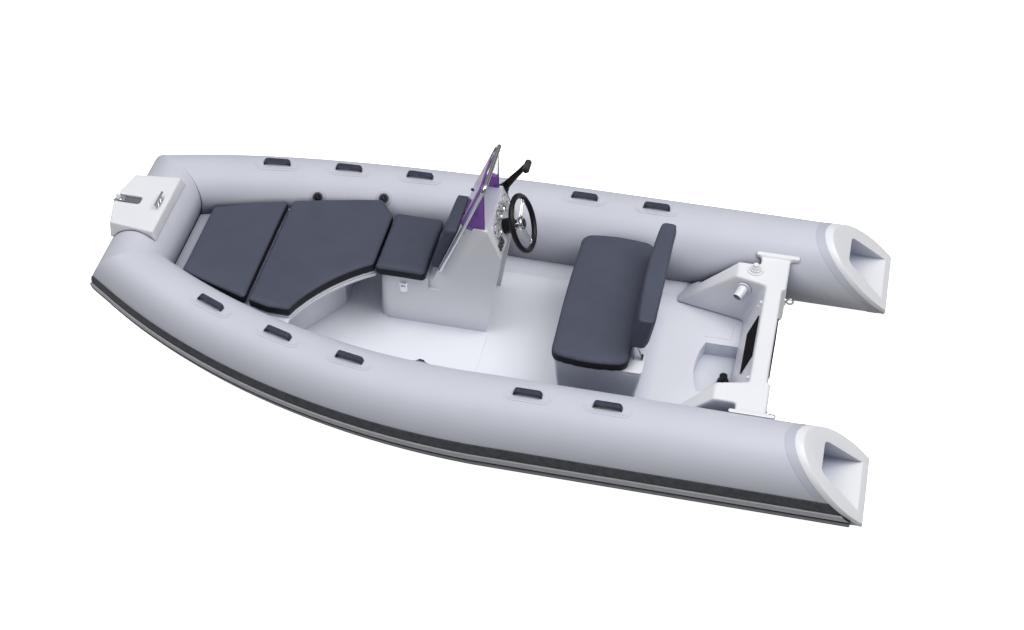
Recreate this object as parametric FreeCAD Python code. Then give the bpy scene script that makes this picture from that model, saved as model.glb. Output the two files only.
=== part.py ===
import FreeCAD, Part
import math
import os

V = FreeCAD.Vector
os.makedirs("parts", exist_ok=True)

# Rigid inflatable boat, 4.2 m long, millimetres.
# +X points to the bow, +Y to port, +Z up. The origin lies on the centre line at the waterline.

# General clearances
SEAT_GAP = 0.3
PIN_GAP = 0.04

# Inflated collar: straight aft, then curving in and up to a square bow
TUBE_R = 228.0
TUBE_Y = 762.0
TUBE_Z = 200.0
STERN_X = -2100.0
BEND_X = -124.0
BEND_LEAD = 761.0
SHOULDER_X = 1347.0
SHOULDER_Y = 638.0
SHOULDER_Z = 308.5
BOW_X = 1879.0
BOW_Y = 363.0
BOW_Z = 438.6
BOW_R = 178.0
LOFT_STEPS = 8

# Stern caps
CAP_TOP_X = -1760.0
CAP_FACE_Z = 123.0
CAP_RIM = 30.0
CAP_PLATE = 12.0
CAP_PROUD = 3.0
STEP_TOP_Z = 335.0
STEP_LOW_Z = 152.0
STEP_TOP_HALF = 102.0
STEP_LOW_HALF = 158.0
STEP_WALL_X = -1858.0
STEP_CORNER = 34.0
CUP_WALL = 5.0

# Rubbing strake, angles in degrees above the outer horizontal of the collar
STRAKE_TOP = 15.0
STRAKE_LOW = -52.0
STRAKE_THICK = 5.0
RIB_TOP = -10.0
RIB_LOW = -36.0
RIB_THICK = 16.0
STRAKE_END_X = -2040.0

# Lifting handles
HANDLE_XS = (1383.0, 989.0, 584.0, -372.0, -779.0)
PAD_LENGTH = 250.0
PAD_WIDTH = 92.0
PAD_THICK = 3.0
PAD_RIM = 13.0
PAD_SKIRT = 1.4
STRAP_LENGTH = 158.0
STRAP_WIDTH = 34.0
STRAP_THICK = 7.0
STRAP_RISE = 36.0
STRAP_LEG = 13.0
STRAP_BEND = 18.0

# Inflation valves
STARBOARD_VALVES = ((1151.0, 36.0), (773.0, 46.0))
PORT_VALVES = ((250.0, 37.0),)
VALVE_R = 27.0
VALVE_THICK = 7.0
VALVE_PATCH_R = 43.0
VALVE_PATCH = 1.5
VALVE_KNOB = 0.62

# Hull and deck
KEEL_Z = -185.0
CHINE_Y = 520.0
CHINE_Z = -15.0
WING_Y = 668.0
WING_Z = 22.0
FLOOR_Z = 30.0
FLOOR_HALF = 500.0
SLOPE_Y = 576.0
SLOPE_Z = 112.0
DECK_THICK = 12.0
WELL_FRONT_X = -1165.0
WELL_HALF = 184.0
WELL_BULGE = 36.0
WELL_DEPTH = 90.0
WELL_WALL = 5.0
PUMP_SET = 50.0
PUMP_Y = 10.0
PUMP_R = 28.0
HATCH_LINE = 3.0
HATCH_DEPTH = 1.5
FLOOR_GROOVES = (
    (10.0, 10.0, 20.0, 470.0),
    (-1300.0, -1150.0, -228.0, -228.0),
    (-1300.0, -1300.0, -340.0, -228.0),
)

# Transom and its knees
TRANSOM_TOP_Z = 355.0
TRANSOM_AFT_X = -1533.0
TRANSOM_STEP = 20.0
TRANSOM_STEP_Y = 350.0
TRANSOM_HEAD = 88.0
TRANSOM_FOOT_X = -1342.0
KNEE_BEND_X = -1280.0
KNEE_TIP_X = -965.0
KNEE_AFT_Y = 352.0
KNEE_BEND_Y = 398.0
KNEE_TIP_Y = 462.0
KNEE_FLANGE = 120.0
KNEE_FLOOR = 14.0
FLANGE_LENGTH = 240.0
FLANGE_THICK = 18.0
FLANGE_RISE = 16.0
ENGINE_PAD_WIDTH = 300.0
ENGINE_PAD_HIGH = 150.0
ENGINE_PAD_THICK = 6.0

# Console, offset to starboard
CONSOLE_Y = -195.0
CONSOLE_HALF = 190.0
CONSOLE_WALL = 8.0
CONSOLE_AFT_X = 25.0
CONSOLE_FRONT_X = 628.0
SEAT_BACK_X = 318.0
CONSOLE_TOP_Z = 772.0
CONSOLE_TOP_FRONT_X = 152.0
CONSOLE_TOP_AFT_X = 10.0
DASH_LOW_X = -63.0
DASH_LOW_Z = 590.0
CONSOLE_CORNER = 62.0
FLANK_LEAN = 14.0
FLANK_LEDGE = 24.0
BULKHEAD_X = 300.0

# Seats and pads
LID_THICK = 12.0
CUSHION_THICK = 60.0
LID_Z = 358.0
SEAT_FRONT_X = 622.0
SEAT_CUSHION_X = 347.0
SEAT_LID_LIP = 3.0
BACK_PAD_THICK = 60.0
BACK_PAD_FOOT = 44.0
BACK_PAD_HALF = 158.0
LATCH_X = 478.0

# Bow locker under two pads
PAD_NOSE_X = 1640.0
PAD_SEAM_X = 1227.0
PAD_SEAM_GAP = 12.0
PAD_AFT_X = 632.0
PAD_PORT_X = 985.0
PAD_PORT_Y = 436.0
PAD_AFT_Y = 3.0
PAD_STAR_Y = -404.0
PAD_CHAMFER_X = 725.0
PAD_SWEEP = 42.0
PAD_SWEEP_POINTS = 9
PAD_TUBE_GAP = 8.0
PAD_LEDGE = 2.0
PLATFORM_THICK = 13.0
LOCKER_WALL_SET = 200.0
HATCH_INSET = 60.0
BOW_STRIP = 75.0

# Helm seat
HELM_AFT_X = -830.0
HELM_FRONT_X = -425.0
HELM_HALF = 438.0
HELM_END_BOW = 26.0
HELM_FRONT_BOW = 10.0
HELM_CORNER = 60.0
HELM_BOX_HALF = 442.0
HELM_BASE_IN = 34.0
HELM_LEDGE = 70.0
HELM_WALL = 8.0
REST_LOW_Z = 485.0
REST_HIGH_Z = 685.0
REST_HALF = 385.0
REST_THICK = 78.0
REST_BULGE = 20.0
REST_LEAN = 11.0
REST_FRONT_X = -826.0
REST_PIVOT_Z = 470.0
REST_PIVOT_X = -838.0
ARM_Y = 330.0
ARM_THICK = 6.0
EYE_R = 10.0
EAR_GAP = 1.0
PIN_R = 5.0

# Steering
WHEEL_R = 162.0
WHEEL_RIM_R = 15.0
WHEEL_STAND = 107.0
WHEEL_Y = -205.0
WHEEL_UP = 64.0
HUB_R = 42.0
HUB_LENGTH = 52.0
SHAFT_R = 10.0

# Engine control
LEVER_SET = 34.0
LEVER_OUT = 20.0
LEVER_RUN = 118.0
LEVER_RISE = 181.0
LEVER_GRIP = 66.0

# Windscreen and its rail
RAIL_R = 11.0
RAIL_LOW_X = 270.0
RAIL_LOW_Z = 448.0
RAIL_TOP_X = 21.0
RAIL_TOP_Z = 1062.0
RAIL_HALF = 188.0
RAIL_BEND = 34.0
SCREEN_THICK = 6.0
SCREEN_LOW_Z = 775.0

# Cable pipe on the starboard knee
PIPE_X = -1325.0
PIPE_Y = -383.0
PIPE_Z = 283.0
PIPE_R = 27.0
PIPE_LENGTH = 66.0
BOOT_X = -1374.0
BOOT_SET = 70.0
PIPE_ROOT = 20.0
PIPE_WALL = 4.0

# Bow step, roller and cleat
STEP_AFT_SET = 96.0
STEP_NOSE_SET = 157.0
STEP_BULGE = 34.0
STEP_FLAT = 60.0
STEP_DEPTH = 90.0
STEP_HALF_AFT = 226.0
STEP_HALF_NOSE = 198.0
STEP_SPREAD = 24.0
STEP_RISE = 23.4
STEP_SLOT_SET = 53.0
STEP_SLOT_HALF = 28.0
STEP_SLOT_DEPTH = 28.0
ROLLER_R = 15.0
ROLLER_LENGTH = 34.0
ROLLER_SET = 28.0
ROLLER_DROP = 10.0
ROLLER_PIN_R = 5.0
CHEEK = 4.0
CLEAT_SET = 51.0
CLEAT_HALF = 60.0

# Towing eyes
TOW_Y = 430.0
TOW_Z = 190.0
TOW_PLATE_R = 24.0
TOW_RING_R = 18.0
TOW_BAR_R = 5.0


def save(shape, name):
    """Write one sub-part under its own name."""
    shape.exportStep("parts/" + name + ".step")


def polygon(points):
    """Closed wire through points."""
    return Part.makePolygon(list(points) + [points[0]])


def prism(points, direction):
    """Solid made by pushing a polygon along a direction."""
    return Part.Face(polygon(points)).extrude(direction)


def side_prism(profile, y_low, y_high):
    """Solid with an XZ profile between two Y planes."""
    points = [V(x, y_low, z) for x, z in profile]
    return prism(points, V(0, y_high - y_low, 0))


def plan_prism(outline, z_low, z_high):
    """Solid with an XY outline between two heights."""
    points = [V(x, y, z_low) for x, y in outline]
    return prism(points, V(0, 0, z_high - z_low))


def tapered_box(low, top, z_low, z_high):
    """Block whose rectangle low = (x0, x1, y0, y1) changes to the rectangle top."""
    wedge = Part.makeWedge(low[0], z_low, -low[3], -top[3], top[0], low[1], z_high, -low[2], -top[2], top[1])
    wedge.rotate(V(0, 0, 0), V(1, 0, 0), 90)
    return wedge


def box(x0, x1, y0, y1, z0, z1):
    """Block between two corners."""
    return Part.makeBox(x1 - x0, y1 - y0, z1 - z0, V(x0, y0, z0))


def rod(start, end, radius):
    """Round bar between two points."""
    way = end - start
    return Part.makeCylinder(radius, way.Length, start, way)


def mirror_y(shape):
    """The same shape on the other side of the centre line."""
    return shape.mirror(V(0, 0, 0), V(0, 1, 0))


def fillet_where(shape, radius, test):
    """Round every edge whose middle point and direction pass the test."""
    edges = []
    for edge in shape.Edges:
        if edge.Length > 1.0 and edge.Curve.TypeId == "Part::GeomLine":
            middle = edge.valueAt((edge.FirstParameter + edge.LastParameter) / 2)
            way = edge.tangentAt(edge.FirstParameter)
            if test(middle, way):
                edges.append(edge)
    return shape.makeFillet(radius, edges)


# Centre line of the collar
PATH = [
    V(BEND_X, TUBE_Y, TUBE_Z),
    V(BEND_X + BEND_LEAD, TUBE_Y, TUBE_Z),
    V(SHOULDER_X, SHOULDER_Y, SHOULDER_Z),
    V(BOW_X, BOW_Y, BOW_Z),
]


def largest(shape):
    """The biggest solid of a shape."""
    return max(shape.Solids, key=lambda solid: solid.Volume)


def path_point(t):
    """Point on the curved part of the port collar's centre line."""
    s = 1 - t
    return PATH[0] * s**3 + PATH[1] * (3 * s * s * t) + PATH[2] * (3 * s * t * t) + PATH[3] * t**3


def path_way(t):
    """Unit direction of that centre line."""
    s = 1 - t
    way = (PATH[1] - PATH[0]) * (s * s) + (PATH[2] - PATH[1]) * (2 * s * t) + (PATH[3] - PATH[2]) * (t * t)
    return way.normalize()


def path_radius(t):
    """Radius of the collar along the curved part."""
    return TUBE_R + (BOW_R - TUBE_R) * t


def path_at_x(x):
    """Centre, direction and radius of the port collar where it crosses x."""
    if x <= BEND_X:
        return V(x, TUBE_Y, TUBE_Z), V(1, 0, 0), TUBE_R
    low, high = 0.0, 1.0
    for _ in range(40):
        middle = (low + high) / 2
        if path_point(middle).x < x:
            low = middle
        else:
            high = middle
    return path_point(low), path_way(low), path_radius(low)


def cross_axes(way):
    """Outward and upward unit vectors square to the centre line."""
    outward = V(0, 0, 1).cross(way).normalize()
    upward = way.cross(outward).normalize()
    return outward, upward


END_WAY = path_way(1.0)
MITRE_NORMAL = (END_WAY + V(0, -1, 0)).normalize()
MITRE_POINT = PATH[3]
MITRE_SIZE = 7 * TUBE_R


def mitre_block(side):
    """Big block that lies on one side of the mitre plane; side is +1 for the bow tube's side."""
    face = Part.Plane(MITRE_POINT, MITRE_NORMAL).toShape(-MITRE_SIZE, MITRE_SIZE, -MITRE_SIZE, MITRE_SIZE)
    return face.extrude(MITRE_NORMAL * (side * MITRE_SIZE))


def collar_side(extra, start_x):
    """Port side of the collar with its radius enlarged by extra, up to the mitre."""
    straight = Part.makeCylinder(TUBE_R + extra, BEND_X - start_x, V(start_x, TUBE_Y, TUBE_Z), V(1, 0, 0))
    rings = []
    for step in range(LOFT_STEPS + 1):
        t = step / LOFT_STEPS
        rings.append(Part.Wire(Part.makeCircle(path_radius(t) + extra, path_point(t), path_way(t))))
    curved = Part.makeLoft(rings, True, False)
    nose = Part.makeCylinder(BOW_R + extra, 2 * BOW_R, PATH[3], END_WAY)
    whole = straight.fuse([curved, nose])
    return whole.cut(mitre_block(1))


def collar_bow(extra):
    """Cross tube of the bow, mitred at both ends."""
    reach = BOW_Y + 2 * BOW_R
    whole = Part.makeCylinder(BOW_R + extra, 2 * reach, V(BOW_X, -reach, BOW_Z), V(0, 1, 0))
    whole = whole.cut(mitre_block(-1))
    return whole.cut(mirror_y(mitre_block(-1)))


# Slanted faces of the stern cap
FACE_SLOPE = (TUBE_Z + TUBE_R - CAP_FACE_Z) / (CAP_TOP_X - STERN_X)
FACE_ANGLE = math.atan(FACE_SLOPE)


def slant_block(shift):
    """Everything above and aft of the cap's slanted face, moved forward by shift along its normal."""
    along = shift / math.sin(FACE_ANGLE)
    reach = 4 * TUBE_R
    low = V(STERN_X + along, 0, CAP_FACE_Z)
    way = V(math.cos(FACE_ANGLE), 0, math.sin(FACE_ANGLE))
    corner_a = low - way * reach
    corner_b = low + way * reach
    normal = V(-math.sin(FACE_ANGLE), 0, math.cos(FACE_ANGLE))
    profile = [corner_a, corner_b, corner_b + normal * reach, corner_a + normal * reach]
    points = [V(p.x, TUBE_Y - reach, p.z) for p in profile]
    return prism(points, V(0, 2 * reach, 0))


def step_void(grow):
    """Boarding step pressed into the cap, grown on all sides by grow."""
    z_top = STEP_TOP_Z + grow
    z_low = STEP_LOW_Z - grow
    top = STEP_TOP_HALF + grow
    low = STEP_LOW_HALF + grow
    start = STERN_X - 50
    outline = [(-low, z_low), (low, z_low), (top, z_top), (-top, z_top)]
    points = [V(start, TUBE_Y + y, z) for y, z in outline]
    void = prism(points, V(STEP_WALL_X + grow - start, 0, 0))
    return fillet_where(void, STEP_CORNER, lambda m, w: abs(w.x) > 0.9 and m.z > TUBE_Z)


def cap_port():
    """Stern cap: slanted rim, end plate and the walls of the boarding step."""
    outer = Part.makeCylinder(TUBE_R + CAP_PROUD, 5 * TUBE_R, V(STERN_X, TUBE_Y, TUBE_Z), V(1, 0, 0))
    core = Part.makeCylinder(TUBE_R + CAP_PROUD, CAP_PLATE, V(STERN_X, TUBE_Y, TUBE_Z), V(1, 0, 0))
    rim = outer.common(slant_block(CAP_RIM)).fuse(core)
    cup = outer.common(step_void(CUP_WALL))
    whole = rim.fuse(cup).cut(slant_block(0))
    return whole.cut(step_void(0)).removeSplitter()


def cap_seat():
    """Space that the stern cap takes out of the collar."""
    reach = 2 * TUBE_R
    end = STERN_X + CAP_PLATE
    plate = box(STERN_X - 50, end, TUBE_Y - reach, TUBE_Y + reach, TUBE_Z - reach, TUBE_Z + reach)
    return slant_block(CAP_RIM).fuse([plate, step_void(CUP_WALL)])


def ring_point(centre, outward, upward, radius, degrees):
    """Point on a circle round the centre line; 0 degrees points outboard."""
    angle = math.radians(degrees)
    return centre + outward * (radius * math.cos(angle)) + upward * (radius * math.sin(angle))


def strake_wire(centre, way, radius):
    """Closed section of the rubbing strake, square to the centre line."""
    outward, upward = cross_axes(way)
    inner = radius + SEAT_GAP
    skin = inner + STRAKE_THICK
    crest = inner + RIB_THICK

    def arc(r, a, b):
        start = ring_point(centre, outward, upward, r, a)
        middle = ring_point(centre, outward, upward, r, (a + b) / 2)
        end = ring_point(centre, outward, upward, r, b)
        return Part.Arc(start, middle, end).toShape()

    def line(r1, a1, r2, a2):
        start = ring_point(centre, outward, upward, r1, a1)
        end = ring_point(centre, outward, upward, r2, a2)
        return Part.LineSegment(start, end).toShape()

    edges = [
        arc(inner, STRAKE_LOW, STRAKE_TOP),
        line(inner, STRAKE_TOP, skin, STRAKE_TOP),
        arc(skin, STRAKE_TOP, RIB_TOP),
        line(skin, RIB_TOP, crest, RIB_TOP - 3),
        arc(crest, RIB_TOP - 3, RIB_LOW + 3),
        line(crest, RIB_LOW + 3, skin, RIB_LOW),
        arc(skin, RIB_LOW, STRAKE_LOW),
        line(skin, STRAKE_LOW, inner, STRAKE_LOW),
    ]
    return Part.Wire(edges)


def strake_side():
    """Strake of the port side, up to the mitre."""
    straight = Part.Face(strake_wire(V(STRAKE_END_X, TUBE_Y, TUBE_Z), V(1, 0, 0), TUBE_R))
    straight = straight.extrude(V(BEND_X - STRAKE_END_X, 0, 0))
    rings = []
    for step in range(LOFT_STEPS + 1):
        t = step / LOFT_STEPS
        rings.append(strake_wire(path_point(t), path_way(t), path_radius(t)))
    curved = Part.makeLoft(rings, True, False)
    nose = Part.Face(strake_wire(PATH[3], END_WAY, BOW_R)).extrude(END_WAY * (2 * BOW_R))
    whole = straight.fuse([curved, nose])
    return whole.cut(mitre_block(1)).cut(slant_block(CAP_RIM + SEAT_GAP))


def strake_bow():
    """Strake across the bow."""
    reach = BOW_Y + 2 * BOW_R
    way = V(0, -1, 0)
    whole = Part.Face(strake_wire(V(BOW_X, reach, BOW_Z), way, BOW_R)).extrude(way * (2 * reach))
    return whole.cut(mitre_block(-1)).cut(mirror_y(mitre_block(-1)))


def stadium(length, width, thick):
    """Flat plate with round ends, centred on the origin."""
    half = length / 2 - width / 2
    body = box(-half, half, -width / 2, width / 2, 0, thick)
    ends = [Part.makeCylinder(width / 2, thick, V(x, 0, 0)) for x in (-half, half)]
    return body.fuse(ends).removeSplitter()


def frame_place(centre, x_way, z_way):
    """Placement with its X axis along x_way and its Z axis along z_way."""
    y_way = z_way.cross(x_way)
    m = FreeCAD.Matrix(
        x_way.x, y_way.x, z_way.x, centre.x,
        x_way.y, y_way.y, z_way.y, centre.y,
        x_way.z, y_way.z, z_way.z, centre.z,
        0, 0, 0, 1)
    return FreeCAD.Placement(m)


def handle_strap():
    """Bridge-shaped strap of a lifting handle, standing on the plane z = 0."""
    half = STRAP_LENGTH / 2
    crest = half - STRAP_LEG
    side = STRAP_WIDTH / 2
    outer = [(-half, 0), (half, 0), (crest, STRAP_RISE), (-crest, STRAP_RISE)]
    inner_half = half - STRAP_THICK
    inner_crest = crest - STRAP_THICK / 2
    inner_rise = STRAP_RISE - STRAP_THICK
    inner = [(-inner_half, -1), (inner_half, -1), (inner_crest, inner_rise), (-inner_crest, inner_rise)]
    block = fillet_where(side_prism(outer, -side, side), STRAP_BEND, lambda m, w: abs(w.y) > 0.9 and m.z > 1)
    room = fillet_where(side_prism(inner, -side - 1, side + 1), STRAP_BEND - STRAP_THICK,
                        lambda m, w: abs(w.y) > 0.9 and m.z > 1)
    return block.cut(room)


def handles_port():
    """Pads and straps of the port side's handles."""
    outer = collar_side(SEAT_GAP + PAD_THICK, STERN_X)
    skirt = collar_side(SEAT_GAP + PAD_SKIRT, STERN_X)
    inner = collar_side(SEAT_GAP, STERN_X)
    foot = collar_side(2 * SEAT_GAP + PAD_THICK, STERN_X)
    pads = []
    straps = []
    for x in HANDLE_XS:
        centre, way, radius = path_at_x(x)
        _, upward = cross_axes(way)
        top = centre + upward * (radius - PAD_WIDTH / 2)
        place = frame_place(top, way, upward)
        patch = stadium(PAD_LENGTH, PAD_WIDTH, PAD_WIDTH)
        patch.Placement = place
        raised = stadium(PAD_LENGTH - 2 * PAD_RIM, PAD_WIDTH - 2 * PAD_RIM, PAD_WIDTH)
        raised.Placement = place
        pads.append(patch.common(skirt).fuse(raised.common(outer)).cut(inner))
        seat = centre + upward * (radius + SEAT_GAP + PAD_THICK - STRAP_THICK)
        strap = handle_strap()
        strap.Placement = frame_place(seat, way, upward)
        straps.append(strap.cut(foot))
    return Part.makeCompound(pads), Part.makeCompound(straps)


def valve_frame(x, degrees):
    """Start and axis of a port valve on the collar's inner side."""
    centre, way, radius = path_at_x(x)
    outward, upward = cross_axes(way)
    angle = math.radians(degrees)
    axis = (outward * -math.cos(angle) + upward * math.sin(angle)).normalize()
    return centre + axis * radius, axis


def valve_set(places, skin):
    """Valves of one side as if on port: patch, flange and knob."""
    bodies = []
    for x, degrees in places:
        start, axis = valve_frame(x, degrees)
        root = start - axis * VALVE_THICK
        patch = Part.makeCylinder(VALVE_PATCH_R, 2 * VALVE_THICK, root, axis)
        patch = patch.common(collar_side(SEAT_GAP + VALVE_PATCH, STERN_X))
        flange = Part.makeCylinder(VALVE_R, 2 * VALVE_THICK, root, axis)
        knob = Part.makeCylinder(VALVE_R * VALVE_KNOB, 3 * VALVE_THICK, root, axis)
        bodies.append(patch.fuse([flange, knob]).cut(skin))
    return bodies


def valves():
    """Inflation valves on the inner sides of the collar."""
    skin = collar_side(SEAT_GAP, STERN_X)
    starboard = [mirror_y(body) for body in valve_set(STARBOARD_VALVES, skin)]
    return Part.makeCompound(starboard + valve_set(PORT_VALVES, skin))


# Stations of the deck and hull: x, floor height and half width, top of the side slope,
# keel height, chine and wing
STATIONS = [
    (TRANSOM_AFT_X, FLOOR_Z, FLOOR_HALF, SLOPE_Y, SLOPE_Z, KEEL_Z, CHINE_Y, CHINE_Z, WING_Y, WING_Z),
    (300, FLOOR_Z, FLOOR_HALF, SLOPE_Y, SLOPE_Z, KEEL_Z, CHINE_Y, CHINE_Z, WING_Y, WING_Z + 6),
    (700, FLOOR_Z, 455, 545, 150, KEEL_Z + 12, CHINE_Y - 30, CHINE_Z + 14, 640, 55),
    (1050, FLOOR_Z, 370, 475, 195, KEEL_Z + 52, 430, 0, 580, 100),
    (1383, 85, 250, 405, 265, -62, 330, 45, 490, 175),
    (1620, 175, 150, 345, 330, 60, 225, 140, 400, 235),
    (1720, 230, 100, 320, 370, 130, 170, 190, 350, 262),
]


def deck_line(station, drop):
    """Half outline of the deck's upper side, from the middle outwards, lowered by drop."""
    x, floor_z, floor_y, slope_y, slope_z = station[:5]
    return [(x, 0, floor_z - drop), (x, floor_y, floor_z - drop), (x, slope_y, slope_z - drop)]


def both_sides(half):
    """Full outline from port to starboard out of a half one that starts in the middle."""
    port = [V(x, y, z) for x, y, z in reversed(half)]
    starboard = [V(x, -y, z) for x, y, z in half[1:]]
    return port + starboard


def station_loft(outlines):
    """Solid with flat-ruled sides through closed outlines."""
    return Part.makeLoft([polygon(points) for points in outlines], True, True)


def deck_core():
    """Deck moulding before its edges are trimmed by the collar."""
    outlines = []
    for station in STATIONS:
        upper = both_sides(deck_line(station, 0))
        lower = both_sides(deck_line(station, DECK_THICK))
        outlines.append(upper + lower[::-1])
    return station_loft(outlines)


def hull_core():
    """Hull moulding up to the deck's underside."""
    outlines = []
    for station in STATIONS:
        x = station[0]
        keel_z, chine_y, chine_z, wing_y, wing_z = station[5:]
        upper = both_sides(deck_line(station, DECK_THICK))
        lower = both_sides([(x, 0, keel_z), (x, chine_y, chine_z), (x, wing_y, wing_z)])
        outlines.append(upper + lower[::-1])
    return station_loft(outlines)


def well_outline(grow):
    """Plan of the bilge well: a box with a bowed front."""
    half = WELL_HALF + grow
    aft = TRANSOM_FOOT_X - grow
    front = WELL_FRONT_X + grow
    edges = [
        Part.LineSegment(V(front, half, 0), V(aft, half, 0)).toShape(),
        Part.LineSegment(V(aft, half, 0), V(aft, -half, 0)).toShape(),
        Part.LineSegment(V(aft, -half, 0), V(front, -half, 0)).toShape(),
        Part.Arc(V(front, -half, 0), V(front + WELL_BULGE, 0, 0), V(front, half, 0)).toShape(),
    ]
    return Part.Face(Part.Wire(edges))


def well_void(grow, z_high):
    """Space of the bilge well, grown by grow."""
    face = well_outline(grow)
    low = FLOOR_Z - WELL_DEPTH - grow
    face.translate(V(0, 0, low))
    return face.extrude(V(0, 0, z_high - low))


def deck_lines():
    """Shallow grooves of the floor: the joint across the cockpit and the hatch beside the well."""
    low = FLOOR_Z - HATCH_DEPTH
    grooves = []
    half = HATCH_LINE / 2
    for x0, x1, y0, y1 in FLOOR_GROOVES:
        grooves.append(box(x0 - half, x1 + half, y0 - half, y1 + half, low, FLOOR_Z + 1))
    return grooves


def both_collars(extra):
    """The two side tubes and the bow tube with their radius enlarged by extra."""
    side = collar_side(extra, STERN_X)
    return [side, mirror_y(side), collar_bow(extra)]


def transom():
    """Transom moulding with its two knees, joined to the collar by flanges."""
    aft = TRANSOM_AFT_X
    head_x = aft + TRANSOM_HEAD
    profile = [(aft, FLOOR_Z), (TRANSOM_FOOT_X, FLOOR_Z), (head_x, TRANSOM_TOP_Z), (aft, TRANSOM_TOP_Z)]
    board = side_prism(profile, -TUBE_Y, TUBE_Y)
    solids = [board]
    for side in (1, -1):
        y_low, y_high = sorted((side * TRANSOM_STEP_Y, side * TUBE_Y))
        solids.append(box(aft - TRANSOM_STEP, aft, y_low, y_high, SLOPE_Z, TRANSOM_TOP_Z))
        plan = [(head_x - 40, side * KNEE_AFT_Y), (KNEE_BEND_X, side * KNEE_BEND_Y),
                (KNEE_TIP_X, side * KNEE_TIP_Y), (KNEE_TIP_X, side * TUBE_Y), (head_x - 40, side * TUBE_Y)]
        block = plan_prism(plan, FLOOR_Z, TRANSOM_TOP_Z)
        trim = side_prism([(KNEE_BEND_X, TRANSOM_TOP_Z), (KNEE_TIP_X + 1, FLOOR_Z + KNEE_FLOOR),
                           (KNEE_TIP_X + 1, TRANSOM_TOP_Z + 1), (KNEE_BEND_X, TRANSOM_TOP_Z + 1)],
                          -TUBE_Y - 1, TUBE_Y + 1)
        block = block.cut(trim)
        pocket_y = KNEE_BEND_Y + KNEE_FLANGE
        low_y, high_y = sorted((side * pocket_y, side * (TUBE_Y + 1)))
        pocket = box(head_x + 50, KNEE_TIP_X - 90, low_y, high_y, SLOPE_Z + 30, TRANSOM_TOP_Z + 1)
        solids.append(block.cut(pocket))
        middle_x = aft + TRANSOM_HEAD / 2 + 6
        y_edge = TUBE_Y - math.sqrt(TUBE_R**2 - (TRANSOM_TOP_Z - TUBE_Z)**2)
        low_y, high_y = sorted((side * (y_edge - FLANGE_THICK), side * (y_edge + FLANGE_THICK)))
        solids.append(box(middle_x - FLANGE_LENGTH / 2, middle_x + FLANGE_LENGTH / 2, low_y, high_y,
                          TRANSOM_TOP_Z - 60, TRANSOM_TOP_Z + FLANGE_RISE))
    return solids[0].fuse(solids[1:])


def engine_pads():
    """Clamp plates for the outboard on both faces of the transom."""
    half = ENGINE_PAD_WIDTH / 2
    top = TRANSOM_TOP_Z - 30
    aft = box(TRANSOM_AFT_X - ENGINE_PAD_THICK, TRANSOM_AFT_X, -half, half, top - ENGINE_PAD_HIGH, top)
    run = TRANSOM_FOOT_X - TRANSOM_AFT_X - TRANSOM_HEAD
    rise = TRANSOM_TOP_Z - FLOOR_Z
    slope = run / rise
    front_x = TRANSOM_AFT_X + TRANSOM_HEAD
    z_low = top - ENGINE_PAD_HIGH
    x_top = front_x + slope * (TRANSOM_TOP_Z - top)
    x_low = front_x + slope * (TRANSOM_TOP_Z - z_low)
    thick = ENGINE_PAD_THICK
    profile = [(x_low, z_low), (x_top, top), (x_top + thick, top), (x_low + thick, z_low)]
    inner = side_prism(profile, -half, half)
    return Part.makeCompound([aft, inner])


DASH_WAY = V(CONSOLE_TOP_AFT_X - DASH_LOW_X, 0, CONSOLE_TOP_Z - DASH_LOW_Z).normalize()
DASH_NORMAL = V(-DASH_WAY.z, 0, DASH_WAY.x)
PORT_FACE_Y = CONSOLE_Y + CONSOLE_HALF
STAR_FACE_Y = CONSOLE_Y - CONSOLE_HALF


def dash_point(up, y):
    """Point on the dash face, up along it from its lower edge."""
    return V(DASH_LOW_X, y, DASH_LOW_Z) + DASH_WAY * up


def flank_block():
    """Block that trims the upper port flank of the console to lean inwards."""
    low = V(SEAT_BACK_X - 45, PORT_FACE_Y, LID_Z - 58)
    high = V(CONSOLE_TOP_AFT_X + 34, PORT_FACE_Y, CONSOLE_TOP_Z - 62)
    way = (high - low).normalize()
    square = V(way.z, 0, -way.x)
    lean = math.radians(FLANK_LEAN)
    inward = square * math.cos(lean) - V(0, 1, 0) * math.sin(lean)
    reach = 900.0
    start = low - way * reach
    end = start + way * (2 * reach)
    points = [start, end, end + inward * reach, start + inward * reach]
    wedge = prism(points, V(0, 400, 0))
    return wedge.common(box(-reach, SEAT_BACK_X + FLANK_LEDGE, -reach, reach, LID_Z - 58, reach + 200))


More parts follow.
